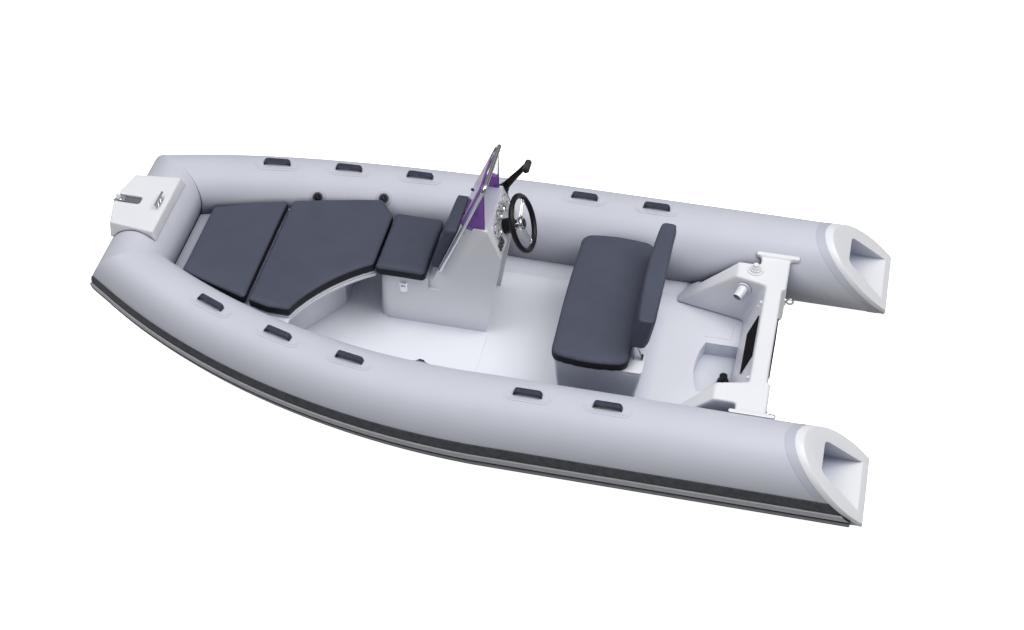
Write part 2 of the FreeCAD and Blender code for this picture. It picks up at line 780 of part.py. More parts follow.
def console():
    """Hollow console: knee space open aft, seat locker open on top."""
    profile = [(CONSOLE_AFT_X, FLOOR_Z), (CONSOLE_FRONT_X, FLOOR_Z), (SEAT_FRONT_X - 8, LID_Z),
               (SEAT_BACK_X, LID_Z), (CONSOLE_TOP_FRONT_X, CONSOLE_TOP_Z),
               (CONSOLE_TOP_AFT_X, CONSOLE_TOP_Z), (DASH_LOW_X, DASH_LOW_Z)]
    outer = side_prism(profile, STAR_FACE_Y, PORT_FACE_Y)
    outer = fillet_where(outer, CONSOLE_CORNER, lambda m, w: abs(w.z) > 0.9 and m.x > SEAT_BACK_X + 200)
    trim = flank_block()
    outer = outer.cut(trim)
    mirrored = trim.mirror(V(0, CONSOLE_Y, 0), V(0, 1, 0))
    outer = outer.cut(mirrored)
    wall = CONSOLE_WALL
    slope = (CONSOLE_TOP_FRONT_X - SEAT_BACK_X) / (CONSOLE_TOP_Z - LID_Z)
    high = CONSOLE_TOP_Z - 3 * wall
    knee = [(DASH_LOW_X - 20, FLOOR_Z - 1), (BULKHEAD_X - wall, FLOOR_Z - 1),
            (BULKHEAD_X - wall, LID_Z - wall),
            (SEAT_BACK_X + slope * (high - LID_Z) - 2 * wall, high), (CONSOLE_TOP_AFT_X + 2 * wall, high),
            (DASH_LOW_X + 2 * wall, DASH_LOW_Z + wall), (DASH_LOW_X - 20, DASH_LOW_Z - 2 * wall)]
    inner_half = CONSOLE_HALF - wall
    side = 6 * wall
    knee_low = side_prism(knee, CONSOLE_Y - inner_half, CONSOLE_Y + inner_half)
    upper = side_prism(knee, CONSOLE_Y - inner_half + side, CONSOLE_Y + inner_half - side)
    knee_low = knee_low.cut(trim).cut(mirrored)
    cut_z = LID_Z - 60
    knee_low = knee_low.common(box(-200, 400, -600, 200, 0, cut_z))
    stow = box(SEAT_CUSHION_X + wall, CONSOLE_FRONT_X - 3 * wall, CONSOLE_Y - inner_half + 2 * wall,
               CONSOLE_Y + inner_half - 2 * wall, FLOOR_Z + wall, LID_Z + 1)
    return outer.cut([knee_low, upper, stow])


def seat_hinge_lid():
    """Lid of the console seat."""
    aft = SEAT_CUSHION_X - SEAT_LID_LIP
    return box(aft, SEAT_FRONT_X, STAR_FACE_Y - 5, PORT_FACE_Y + 5, LID_Z + SEAT_GAP, LID_Z + LID_THICK)


def rounded_plan(outline, z_low, z_high, radius):
    """Plan prism with its upright corners rounded."""
    return fillet_where(plan_prism(outline, z_low, z_high), radius, lambda m, w: abs(w.z) > 0.9)


def crown(solid, z_high, radius):
    """Round the upper rim of a cushion."""
    edges = []
    for edge in solid.Edges:
        if edge.BoundBox.ZMin > z_high - 0.1:
            edges.append(edge)
    return solid.makeFillet(radius, edges)


def cushion(outline, z_low, corner, rim):
    """Cushion with round corners and a soft upper rim."""
    z_high = z_low + CUSHION_THICK
    return crown(rounded_plan(outline, z_low, z_high, corner), z_high, rim)


PAD_Z = LID_Z + LID_THICK + SEAT_GAP


def tube_inner_y(x, z_low, z_high, gap):
    """Y that clears the port collar's inner side at x, between two heights, by a gap."""
    centre, way, radius = path_at_x(x)
    nearest = min(max(centre.z, z_low), z_high)
    rise = nearest - centre.z
    reach = math.sqrt(radius**2 - rise**2)
    return centre.y - (reach + gap) / math.cos(math.atan2(-way.y, way.x))


def pad_edge(x_from, x_to, gap, count):
    """Points of a pad's port edge along the collar."""
    points = []
    for i in range(count):
        x = x_from + (x_to - x_from) * i / (count - 1)
        points.append((x, tube_inner_y(x, LID_Z, PAD_Z + CUSHION_THICK, gap)))
    return points


def front_pad_outline(inset):
    """Plan of the forward bow pad, drawn in by inset."""
    aft_x = PAD_SEAM_X + PAD_SEAM_GAP / 2 + inset
    port = pad_edge(aft_x, PAD_NOSE_X - inset, PAD_TUBE_GAP + inset, 5)
    return port + [(x, -y) for x, y in reversed(port)]


def port_sweep(inset):
    """Hollow curve of the aft pad's port side, from the collar to the console."""
    start = V(PAD_PORT_X, PAD_PORT_Y - inset, 0)
    end = V(PAD_AFT_X + inset, PAD_AFT_Y - inset, 0)
    chord = end - start
    square = V(-chord.y, chord.x, 0).normalize()
    middle = (start + end) / 2 + square * PAD_SWEEP
    arc = Part.Arc(start, middle, end).toShape()
    return [(p.x, p.y) for p in arc.discretize(PAD_SWEEP_POINTS)]


def aft_pad_outline(inset):
    """Plan of the aft bow pad with its slanted port side, drawn in by inset."""
    front_x = PAD_SEAM_X - PAD_SEAM_GAP / 2 - inset
    port = pad_edge(front_x, PAD_PORT_X + 120, PAD_TUBE_GAP + inset, 3)
    starboard = pad_edge(front_x, PAD_CHAMFER_X, PAD_TUBE_GAP + inset, 4)
    aft_x = PAD_AFT_X + inset
    corner = port_sweep(inset) + [(aft_x, PAD_STAR_Y + inset)]
    return port + corner + [(x, -y) for x, y in reversed(starboard)]


def bow_platform():
    """Locker under the bow pads: platform with a hatch, aft wall and a strip at the bow tube."""
    z = LID_Z - SEAT_GAP
    reach = TUBE_Y
    edge_x = PAD_AFT_X - 1
    skin = [(PAD_NOSE_X + BOW_STRIP, reach), (PAD_PORT_X - 20, reach)]
    skin += port_sweep(1 - PAD_LEDGE)
    skin += [(edge_x, PAD_STAR_Y - 6), (PAD_CHAMFER_X - 5, -500), (PAD_CHAMFER_X - 5, -reach),
             (PAD_NOSE_X + BOW_STRIP, -reach)]
    plate = plan_prism(skin, z - PLATFORM_THICK, z)
    plate = plate.cut(plan_prism(front_pad_outline(HATCH_INSET), z - 50, z + 1))
    wall_x = PAD_AFT_X + LOCKER_WALL_SET
    port_x = PAD_PORT_X + LOCKER_WALL_SET
    wall = [(port_x, PAD_PORT_Y + 40), (wall_x, -60), (wall_x, -520),
            (wall_x + 14, -520), (wall_x + 14, -66), (port_x + 10, PAD_PORT_Y + 34)]
    face = plan_prism(wall, FLOOR_Z, z - PLATFORM_THICK)
    return plate.fuse(face)


def helm_box():
    """Hollow seat box."""
    aft = HELM_AFT_X - HELM_LEDGE
    half = HELM_BOX_HALF
    inset = HELM_BASE_IN
    low = (aft + inset + 20, HELM_FRONT_X - inset, inset - half, half - inset)
    top = (aft, HELM_FRONT_X - 12, -half, half)
    outer = tapered_box(low, top, FLOOR_Z, LID_Z)
    outer = fillet_where(outer, 22, lambda m, w: abs(w.z) > 0.9)
    room = box(HELM_AFT_X + 26, HELM_FRONT_X - inset - 2 * HELM_WALL, -half + inset + HELM_WALL,
               half - inset - HELM_WALL, FLOOR_Z + HELM_WALL, LID_Z + 1)
    return outer.cut(room)


def helm_cushion():
    """Seat cushion with bowed ends and a slightly bowed front."""
    aft, front, half = HELM_AFT_X, HELM_FRONT_X - HELM_FRONT_BOW, HELM_HALF
    middle = (aft + front) / 2
    end = half + HELM_END_BOW
    edges = [
        Part.LineSegment(V(aft, half, PAD_Z), V(aft, -half, PAD_Z)).toShape(),
        Part.Arc(V(aft, -half, PAD_Z), V(middle, -end, PAD_Z), V(front, -half, PAD_Z)).toShape(),
        Part.Arc(V(front, -half, PAD_Z), V(HELM_FRONT_X, 0, PAD_Z), V(front, half, PAD_Z)).toShape(),
        Part.Arc(V(front, half, PAD_Z), V(middle, end, PAD_Z), V(aft, half, PAD_Z)).toShape(),
    ]
    block = Part.Face(Part.Wire(edges)).extrude(V(0, 0, CUSHION_THICK))
    block = fillet_where(block, HELM_CORNER, lambda m, w: abs(w.z) > 0.9)
    return crown(block, PAD_Z + CUSHION_THICK, 16)


def helm_lid():
    """Lid of the seat box; its aft ledge carries the backrest."""
    aft = HELM_AFT_X - HELM_LEDGE
    half = HELM_BOX_HALF
    lid = box(aft, HELM_FRONT_X - 8, -half, half, LID_Z + SEAT_GAP, LID_Z + LID_THICK)
    return fillet_where(lid, 22, lambda m, w: abs(w.z) > 0.9)


def helm_backrest():
    """Backrest pad: thick in the middle, leaning aft."""
    half = REST_HALF
    front = REST_FRONT_X
    edges = [
        Part.LineSegment(V(front - REST_THICK, half, 0), V(front, half, 0)).toShape(),
        Part.Arc(V(front, half, 0), V(front + REST_BULGE, 0, 0), V(front, -half, 0)).toShape(),
        Part.LineSegment(V(front, -half, 0), V(front - REST_THICK, -half, 0)).toShape(),
        Part.LineSegment(V(front - REST_THICK, -half, 0), V(front - REST_THICK, half, 0)).toShape(),
    ]
    face = Part.Face(Part.Wire(edges))
    face.translate(V(0, 0, REST_LOW_Z))
    rise = REST_HIGH_Z - REST_LOW_Z
    pad = face.extrude(V(-rise * math.tan(math.radians(REST_LEAN)), 0, rise))
    return fillet_where(pad, 18, lambda m, w: abs(w.z) > 0.9)


def helm_arms():
    """Two arms that carry the backrest on its pins."""
    arms = []
    x = REST_PIVOT_X
    for side in (1, -1):
        y = side * ARM_Y - ARM_THICK / 2
        plate = box(x - EYE_R, x + EYE_R, y, y + ARM_THICK, REST_PIVOT_Z, REST_LOW_Z - SEAT_GAP)
        eye = Part.makeCylinder(EYE_R, ARM_THICK, V(x, y, REST_PIVOT_Z), V(0, 1, 0))
        hole = Part.makeCylinder(PIN_R + PIN_GAP, ARM_THICK + 2, V(x, y - 1, REST_PIVOT_Z), V(0, 1, 0))
        flange = box(x - EYE_R - 40, x + EYE_R, side * ARM_Y - 20, side * ARM_Y + 20,
                     REST_LOW_Z - SEAT_GAP - 3, REST_LOW_Z - SEAT_GAP)
        arms.append(plate.fuse([eye, flange]).cut(hole))
    return Part.makeCompound(arms)


def helm_brackets():
    """Forked brackets on the lid's ledge with the pins of the backrest."""
    brackets = []
    x = REST_PIVOT_X
    z = REST_PIVOT_Z
    foot_z = LID_Z + LID_THICK
    for side in (1, -1):
        offset = ARM_THICK + EAR_GAP
        solids = []
        for y in (side * ARM_Y - offset, side * ARM_Y + offset):
            profile = [(x - 44, foot_z), (x - 6, foot_z), (x - 1, z - 20), (x + EYE_R, z), (x - EYE_R, z)]
            solids.append(side_prism(profile, y - ARM_THICK / 2, y + ARM_THICK / 2))
            solids.append(Part.makeCylinder(EYE_R, ARM_THICK, V(x, y - ARM_THICK / 2, z), V(0, 1, 0)))
        solids.append(box(x - 50, x - 2, side * ARM_Y - 22, side * ARM_Y + 22, foot_z, foot_z + 5))
        solids.append(Part.makeCylinder(PIN_R, 2 * offset, V(x, side * ARM_Y - offset, z), V(0, 1, 0)))
        brackets.append(solids[0].fuse(solids[1:]))
    return Part.makeCompound(brackets)


WHEEL_BASE = dash_point(WHEEL_UP, WHEEL_Y)
WHEEL_CENTRE = WHEEL_BASE + DASH_NORMAL * WHEEL_STAND


def steering_hub():
    """Fixed helm boss on the dash, bored for the wheel's shaft."""
    body = Part.makeCylinder(HUB_R, HUB_LENGTH, WHEEL_BASE, DASH_NORMAL)
    nose = Part.makeCone(HUB_R * 0.8, HUB_R * 0.55, 18, WHEEL_BASE + DASH_NORMAL * HUB_LENGTH, DASH_NORMAL)
    bore_start = WHEEL_BASE + DASH_NORMAL * (HUB_LENGTH - 30)
    bore = Part.makeCylinder(SHAFT_R + PIN_GAP, 60, bore_start, DASH_NORMAL)
    return body.fuse(nose).cut(bore)


def steering_wheel():
    """Wheel with three spokes, boss and shaft."""
    rim = Part.makeTorus(WHEEL_R - WHEEL_RIM_R, WHEEL_RIM_R, WHEEL_CENTRE, DASH_NORMAL)
    boss_back = 30.0
    boss = Part.makeCylinder(34, boss_back + 8, WHEEL_CENTRE - DASH_NORMAL * boss_back, DASH_NORMAL)
    shaft = Part.makeCylinder(SHAFT_R, 60, WHEEL_CENTRE - DASH_NORMAL * (boss_back + 55), DASH_NORMAL)
    solids = [boss, shaft]
    for degrees in (30, 150, 270):
        angle = math.radians(degrees)
        way = DASH_WAY * math.sin(angle) + V(0, 1, 0) * math.cos(angle)
        start = WHEEL_CENTRE + way * 20 - DASH_NORMAL * 12
        end = WHEEL_CENTRE + way * (WHEEL_R - WHEEL_RIM_R)
        solids.append(rod(start, end, 7))
    return rim.fuse(solids)


def rail_wire(half, bend):
    """Centre line of the screen rail."""
    low = V(RAIL_LOW_X, 0, RAIL_LOW_Z)
    top = V(RAIL_TOP_X, 0, RAIL_TOP_Z)
    way = (top - low).normalize()
    port = V(0, half, 0)
    bend_in = V(0, half - bend, 0)
    corner = top + port
    knuckle = math.sqrt(0.5) * bend
    centre = top - way * bend + bend_in
    middle = centre + way * knuckle + V(0, knuckle, 0)
    legs = []
    legs.append(Part.LineSegment(low + port, corner - way * bend).toShape())
    legs.append(Part.Arc(corner - way * bend, middle, top + bend_in).toShape())
    legs.append(Part.LineSegment(top + bend_in, top - bend_in).toShape())
    middle_star = V(middle.x, -middle.y, middle.z)
    legs.append(Part.Arc(top - bend_in, middle_star, top - way * bend - port).toShape())
    legs.append(Part.LineSegment(top - way * bend - port, low - port).toShape())
    return Part.Wire(legs)


def rail_tube(radius):
    """Bent tube of the rail."""
    path = rail_wire(RAIL_HALF, RAIL_BEND)
    way = V(RAIL_TOP_X - RAIL_LOW_X, 0, RAIL_TOP_Z - RAIL_LOW_Z)
    ring = Part.Wire(Part.makeCircle(radius, V(RAIL_LOW_X, RAIL_HALF, RAIL_LOW_Z), way))
    tube = path.makePipeShell([ring], True, True)
    tube.translate(V(0, CONSOLE_Y, 0))
    return tube


def screen_rail():
    """Rail round the windscreen with its standoffs on the console's flanks."""
    solids = []
    for t in (0.06, 0.46):
        x = RAIL_LOW_X + (RAIL_TOP_X - RAIL_LOW_X) * t
        z = RAIL_LOW_Z + (RAIL_TOP_Z - RAIL_LOW_Z) * t
        for side in (1, -1):
            start = V(x, CONSOLE_Y + side * RAIL_HALF, z)
            end = V(x - 40, CONSOLE_Y + side * (RAIL_HALF - 60), z - 16)
            solids.append(rod(start, end, 7))
    rail = rail_tube(RAIL_R).fuse(solids)
    return largest(rail.cut(CONSOLE_SOLID))


def windscreen():
    """Bent screen: sloping front pane and two wings."""
    slope = (RAIL_TOP_X - RAIL_LOW_X) / (RAIL_TOP_Z - RAIL_LOW_Z)
    front_low = RAIL_LOW_X + slope * (SCREEN_LOW_Z - RAIL_LOW_Z)
    high_z = RAIL_TOP_Z - RAIL_R - 2
    front_high = RAIL_LOW_X + slope * (high_z - RAIL_LOW_Z)
    wing_x = RAIL_TOP_X - 4
    outline = [(front_low, SCREEN_LOW_Z), (front_high, high_z), (wing_x, high_z), (wing_x, SCREEN_LOW_Z)]
    half = RAIL_HALF - RAIL_R - 2
    block = side_prism(outline, CONSOLE_Y - half, CONSOLE_Y + half)
    thick = SCREEN_THICK
    hollow = [(front_low - thick, SCREEN_LOW_Z - 1), (front_high - thick, high_z + 1),
              (wing_x - 50, high_z + 1), (wing_x - 50, SCREEN_LOW_Z - 1)]
    room = side_prism(hollow, CONSOLE_Y - half + thick, CONSOLE_Y + half - thick)
    return largest(block.cut(room).cut([CONSOLE_SOLID, rail_tube(RAIL_R + SEAT_GAP)]))


def gauges():
    """Four round instruments on the dash."""
    dials = []
    for up, y, radius in ((118, -335, 40), (150, -272, 22), (150, -200, 22), (118, -112, 40)):
        dials.append(Part.makeCylinder(radius, 9, dash_point(up, y), DASH_NORMAL))
    return Part.makeCompound(dials)


def switch_panel():
    """Switch panel low on the dash."""
    centre = dash_point(45, -84)
    panel = box(-26, 26, -48, 48, 0, 8)
    panel.Placement = frame_place(centre, DASH_WAY, DASH_NORMAL)
    return panel


def throttle():
    """Side-mounted engine control with its lever, moulded as one."""
    y = STAR_FACE_Y
    base_x = CONSOLE_TOP_AFT_X + 20
    base_z = CONSOLE_TOP_Z - 20
    housing = box(base_x - 45, base_x + 35, y - 42, y - SEAT_GAP, base_z - 90, base_z + 10)
    arm_start = V(base_x - LEVER_SET, y - LEVER_OUT, base_z)
    arm_end = arm_start + V(-LEVER_RUN, 0, LEVER_RISE)
    arm = rod(arm_start, arm_end, 11)
    grip = rod(arm_end - V(0, 12, 0), arm_end + V(0, LEVER_GRIP, 0), 15)
    return housing.fuse([arm, grip])


# The step, its roller and the cleat stand on the bow tube
STEP_AFT_X = BOW_X - STEP_AFT_SET
STEP_NOSE_X = BOW_X + STEP_NOSE_SET
STEP_SLOT_X = BOW_X + STEP_SLOT_SET
STEP_DECK_Z = BOW_Z + BOW_R + STEP_RISE
ROLLER_X = STEP_NOSE_X + ROLLER_SET
ROLLER_Z = STEP_DECK_Z - ROLLER_DROP
CLEAT_X = BOW_X - CLEAT_SET


def step_outline(z, spread):
    """Outline of the bow step at height z, widened by spread."""
    aft = STEP_AFT_X - spread
    nose = STEP_NOSE_X + spread
    return [V(aft, -STEP_HALF_AFT - spread, z), V(nose, -STEP_HALF_NOSE - spread, z),
            V(nose + STEP_BULGE, -STEP_FLAT, z), V(nose + STEP_BULGE, STEP_FLAT, z),
            V(nose, STEP_HALF_NOSE + spread, z), V(aft, STEP_HALF_AFT + spread, z)]


def bow_step():
    """Moulded step that sits on the bow tube."""
    low = step_outline(STEP_DECK_Z - STEP_DEPTH, STEP_SPREAD)
    top = step_outline(STEP_DECK_Z, 0)
    low = [V(min(p.x, STEP_NOSE_X), p.y, p.z) for p in low]
    block = Part.makeLoft([polygon(low), polygon(top)], True, True)
    slot = box(STEP_SLOT_X, STEP_NOSE_X + STEP_DEPTH, -STEP_SLOT_HALF, STEP_SLOT_HALF,
               STEP_DECK_Z - STEP_SLOT_DEPTH, STEP_DECK_Z + 1)
    return block.cut([collar_bow(SEAT_GAP), slot])


def roller_bracket():
    """Stainless cheeks, floor plate and pin of the anchor roller."""
    inner = ROLLER_LENGTH / 2 + EAR_GAP
    floor = STEP_DECK_Z - STEP_SLOT_DEPTH
    start = STEP_SLOT_X + 10
    solids = []
    for side in (1, -1):
        low_y, high_y = sorted((side * inner, side * (inner + CHEEK)))
        solids.append(box(start, ROLLER_X + ROLLER_R + 3, low_y, high_y, floor, ROLLER_Z + ROLLER_R - 7))
    solids.append(box(start, ROLLER_X - ROLLER_R - 13, -inner - CHEEK, inner + CHEEK, floor, floor + CHEEK))
    pin_end = V(0, inner + CHEEK, 0)
    pin_middle = V(ROLLER_X, 0, ROLLER_Z)
    solids.append(rod(pin_middle - pin_end, pin_middle + pin_end, ROLLER_PIN_R))
    return solids[0].fuse(solids[1:])


def anchor_roller():
    """Grooved roller that turns on the bracket's pin."""
    half = ROLLER_LENGTH / 2
    waist = ROLLER_R - 5
    hole = ROLLER_PIN_R + PIN_GAP
    profile = [V(hole, -half, 0), V(ROLLER_R, -half, 0), V(ROLLER_R, -half + 5, 0),
               V(waist, 0, 0), V(ROLLER_R, half - 5, 0), V(ROLLER_R, half, 0), V(hole, half, 0)]
    body = Part.Face(polygon(profile)).revolve(V(0, 0, 0), V(0, 1, 0), 360)
    body.translate(V(ROLLER_X, 0, ROLLER_Z))
    return body


def bow_cleat():
    """Cleat on the bow step."""
    z = STEP_DECK_Z + SEAT_GAP
    base = stadium(90, 34, 6)
    base.Placement = frame_place(V(CLEAT_X, 0, z), V(0, 1, 0), V(0, 0, 1))
    posts = [Part.makeCylinder(6, 24, V(CLEAT_X, y, z)) for y in (-16, 16)]
    horn = rod(V(CLEAT_X, -CLEAT_HALF, z + 25), V(CLEAT_X, CLEAT_HALF, z + 25), 7)
    return base.fuse(posts + [horn])


def eye_ring(centre, axis, ring_r, bar_r):
    """Closed ring of a towing eye."""
    return Part.makeTorus(ring_r, bar_r, centre, axis)


def tow_eyes():
    """Two eyes on the aft face of the transom."""
    eyes = []
    face_x = TRANSOM_AFT_X - TRANSOM_STEP - SEAT_GAP
    for side in (1, -1):
        foot = V(face_x - TOW_BAR_R, side * TOW_Y, TOW_Z)
        plate = Part.makeCylinder(TOW_PLATE_R, TOW_BAR_R, foot, V(1, 0, 0))
        centre = V(face_x - TOW_RING_R - TOW_BAR_R - 3.7, side * TOW_Y, TOW_Z)
        eyes.append(plate.fuse(eye_ring(centre, V(0, 1, 0), TOW_RING_R, TOW_BAR_R)))
    return Part.makeCompound(eyes)


def rigging_pipe():
    """Slanted pipe for cables with its flange, on the inner face of the starboard knee."""
    square = V(KNEE_BEND_Y - KNEE_AFT_Y, KNEE_BEND_X - TRANSOM_AFT_X - TRANSOM_HEAD + 40, 0).normalize()
    start = V(PIPE_X, PIPE_Y, PIPE_Z)
    flange = Part.makeCylinder(PIPE_R + 14, 8, start, square)
    axis = V(0.405, 0.865, -0.29).normalize()
    root = start - axis * PIPE_ROOT
    pipe = Part.makeCone(PIPE_R + 3, PIPE_R, PIPE_LENGTH + PIPE_ROOT, root, axis)
    bore = Part.makeCylinder(PIPE_R - PIPE_WALL, PIPE_LENGTH + 3 * PIPE_ROOT, root - axis * PIPE_ROOT, axis)
    return flange.fuse(pipe).cut(bore)


def rigging_boot():
    """Stepped rubber boot on the starboard end of the transom."""
    x = BOOT_X
    y = TUBE_R + BOOT_SET - TUBE_Y
    z = TRANSOM_TOP_Z + SEAT_GAP
    parts = [Part.makeCylinder(44, 5, V(x, y, z))]
    height = z + 5
    for radius, rise in ((34, 12), (26, 12), (18, 14)):
        parts.append(Part.makeCone(radius, radius - 4, rise, V(x, y, height)))
        height += rise
    return parts[0].fuse(parts[1:])


def bilge_pump():
    """Bilge pump in the well: strainer, motor and outlet spigot."""
    foot = V(TRANSOM_FOOT_X + PUMP_SET, PUMP_Y, FLOOR_Z - WELL_DEPTH + SEAT_GAP)
    up = V(0, 0, 1)
    strainer = Part.makeCone(PUMP_R + 6, PUMP_R, 22, foot, up)
    motor = Part.makeCylinder(PUMP_R - 6, 34, foot + up * 20, up)
    spigot = Part.makeCylinder(8, PUMP_R + 22, foot + up * 12, V(0, 1, 0))
    return strainer.fuse([motor, spigot])


def latch():
    """Stainless latch on the port side of the console seat."""
    y = PORT_FACE_Y
    plate = box(LATCH_X - 20, LATCH_X + 20, y + SEAT_GAP, y + 4, LID_Z - 85, LID_Z - 25)
    hook = box(LATCH_X - 11, LATCH_X + 11, y + 4, y + 12, LID_Z - 72, LID_Z - 32)
    return plate.fuse(hook)


def console_backrest():
    """Pad on the forward slope of the console."""
    slope = (CONSOLE_TOP_FRONT_X - SEAT_BACK_X) / (CONSOLE_TOP_Z - LID_Z)
    low_z = PAD_Z + CUSHION_THICK - 10
    high_z = CONSOLE_TOP_Z - 60
    gap = 1.0
    profile = [(SEAT_BACK_X + slope * (z - LID_Z) + g, z) for z, g in
               ((low_z, gap), (low_z, gap + BACK_PAD_FOOT), (high_z, gap + BACK_PAD_THICK), (high_z, gap))]
    pad = side_prism(profile, CONSOLE_Y - BACK_PAD_HALF, CONSOLE_Y + BACK_PAD_HALF)
    return fillet_where(pad, 26, lambda m, w: abs(w.y) < 0.1 and abs(w.x) > 0.8 and m.z > 500)


# Collar
COLLARS = both_collars(0)
TIGHT_COLLARS = both_collars(SEAT_GAP)
port_tube = COLLARS[0].cut(cap_seat())
save(port_tube, "tube_port")
save(mirror_y(port_tube), "tube_starboard")
save(COLLARS[2], "tube_bow")
cap = cap_port()
save(cap, "cap_port")
save(mirror_y(cap), "cap_starboard")
strake = strake_side()
save(strake, "strake_port")
save(mirror_y(strake), "strake_starboard")
bow_strake = strake_bow()
save(bow_strake, "strake_bow")
pads, straps = handles_port()
save(pads, "handle_pads_port")
save(mirror_y(pads), "handle_pads_starboard")
save(straps, "handles_port")
save(mirror_y(straps), "handles_starboard")
save(valves(), "valves")

# Hull and deck
well_cup = well_void(WELL_WALL, FLOOR_Z - DECK_THICK)
hull = largest(hull_core().cut(TIGHT_COLLARS + [well_cup]))
save(hull, "hull")
deck = largest(deck_core().cut(TIGHT_COLLARS))
deck = deck.fuse(well_cup).cut([well_void(0, FLOOR_Z + 200)] + deck_lines())
save(deck, "deck")
transom_solid = largest(transom().cut(TIGHT_COLLARS).cut([deck, hull]))
save(transom_solid, "transom")
save(engine_pads(), "engine_pads")

# Console and its fittings
CONSOLE_SOLID = console()
save(CONSOLE_SOLID, "console")
save(seat_hinge_lid(), "console_lid")
seat_outline = [(SEAT_CUSHION_X, STAR_FACE_Y - 8), (SEAT_FRONT_X, STAR_FACE_Y - 8),
                (SEAT_FRONT_X, PORT_FACE_Y + 8), (SEAT_CUSHION_X, PORT_FACE_Y + 8)]
save(cushion(seat_outline, PAD_Z, 24, 14), "console_cushion")
save(console_backrest(), "console_backrest")
save(latch(), "seat_latch")
save(windscreen(), "windscreen")
save(screen_rail(), "screen_rail")
save(gauges(), "gauges")
save(switch_panel(), "switch_panel")
save(throttle(), "throttle")
save(steering_hub(), "steering_hub")
save(steering_wheel(), "steering_wheel")

# Helm seat
save(helm_box(), "helm_box")
save(helm_lid(), "helm_lid")
save(helm_cushion(), "helm_cushion")
save(helm_backrest(), "helm_backrest")
save(helm_arms(), "helm_arms")
save(helm_brackets(), "helm_brackets")

# Bow
save(largest(bow_platform().cut(TIGHT_COLLARS).cut(deck)), "bow_locker")
save(plan_prism(front_pad_outline(6), LID_Z, LID_Z + LID_THICK), "bow_lid")
save(plan_prism(aft_pad_outline(6), LID_Z, LID_Z + LID_THICK), "bow_pad_base")
save(cushion(front_pad_outline(0), PAD_Z, 18, 14), "bow_cushion_front")
save(cushion(aft_pad_outline(0), PAD_Z, 18, 14), "bow_cushion_aft")
save(bow_step(), "bow_step")
save(roller_bracket(), "roller_bracket")
save(anchor_roller(), "anchor_roller")
save(bow_cleat(), "bow_cleat")

# Stern fittings
save(tow_eyes(), "tow_eyes")
save(rigging_pipe().cut(transom_solid), "rigging_pipe")
save(rigging_boot(), "rigging_boot")
save(bilge_pump(), "bilge_pump")
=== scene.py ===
import math

import bmesh
import bpy
from mathutils import Matrix, Vector


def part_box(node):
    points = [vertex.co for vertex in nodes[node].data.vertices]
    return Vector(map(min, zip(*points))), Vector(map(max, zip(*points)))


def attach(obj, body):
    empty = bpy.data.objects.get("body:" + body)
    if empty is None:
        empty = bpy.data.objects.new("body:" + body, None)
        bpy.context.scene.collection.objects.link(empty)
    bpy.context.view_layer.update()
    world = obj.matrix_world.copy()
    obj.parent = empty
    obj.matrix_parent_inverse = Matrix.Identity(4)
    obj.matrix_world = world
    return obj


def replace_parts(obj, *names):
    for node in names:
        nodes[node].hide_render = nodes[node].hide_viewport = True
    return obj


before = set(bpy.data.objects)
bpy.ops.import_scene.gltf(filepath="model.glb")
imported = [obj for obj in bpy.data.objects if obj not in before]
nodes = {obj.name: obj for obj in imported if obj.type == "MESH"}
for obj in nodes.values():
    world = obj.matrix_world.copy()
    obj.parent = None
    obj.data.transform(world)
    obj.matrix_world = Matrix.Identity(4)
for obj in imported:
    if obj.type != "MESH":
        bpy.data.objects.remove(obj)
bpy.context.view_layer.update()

# Directions
AHEAD = Vector((1.0, 0.0, 0.0))
TO_PORT = Vector((0.0, 1.0, 0.0))
TO_STARBOARD = Vector((0.0, -1.0, 0.0))
UP = Vector((0.0, 0.0, 1.0))

# Camera, matched to the photograph
CAMERA_PLACE = (-1.6448, 6.8874, 7.2557)
CAMERA_RIGHT = (-0.97679413, -0.21417475, -0.00155365)
CAMERA_UP = (0.15040909, -0.6911041, 0.70693156)
CAMERA_LENS = 64.844
SENSOR_WIDTH = 36.0
CAMERA_REACH = 200.0

# Studio. The floor has a hole under the hull, which reaches below it.
FLOOR_SIZE = 60.0
FLOOR_HOLE = (-1.44, -0.36, -0.70, 0.36)
# Name, colour, glow, height and whether the camera sees the plane; the other one only lights the part
FLOOR_PLANES = (
    ("floor", (0.97, 0.97, 0.975), 1.0, 0.0, True),
    ("floor_bounce", (0.0, 0.0, 0.0), 0.55, -0.002, False),
)
SKY_COLOR = (0.955, 0.965, 1.0)
SKY_STOPS = ((0.0, 0.01), (0.5, 0.03), (0.65, 0.09), (0.80, 0.32), (0.90, 0.56), (1.0, 0.86))
# Name, place, size and energy
LAMPS = (("key", (-3.4, 0.0, 6.6), 5.0, 260.0), ("fore", (3.0, 0.9, 6.6), 5.0, 155.0))
LAMP_AIM = Vector((0.0, 0.0, 0.2))

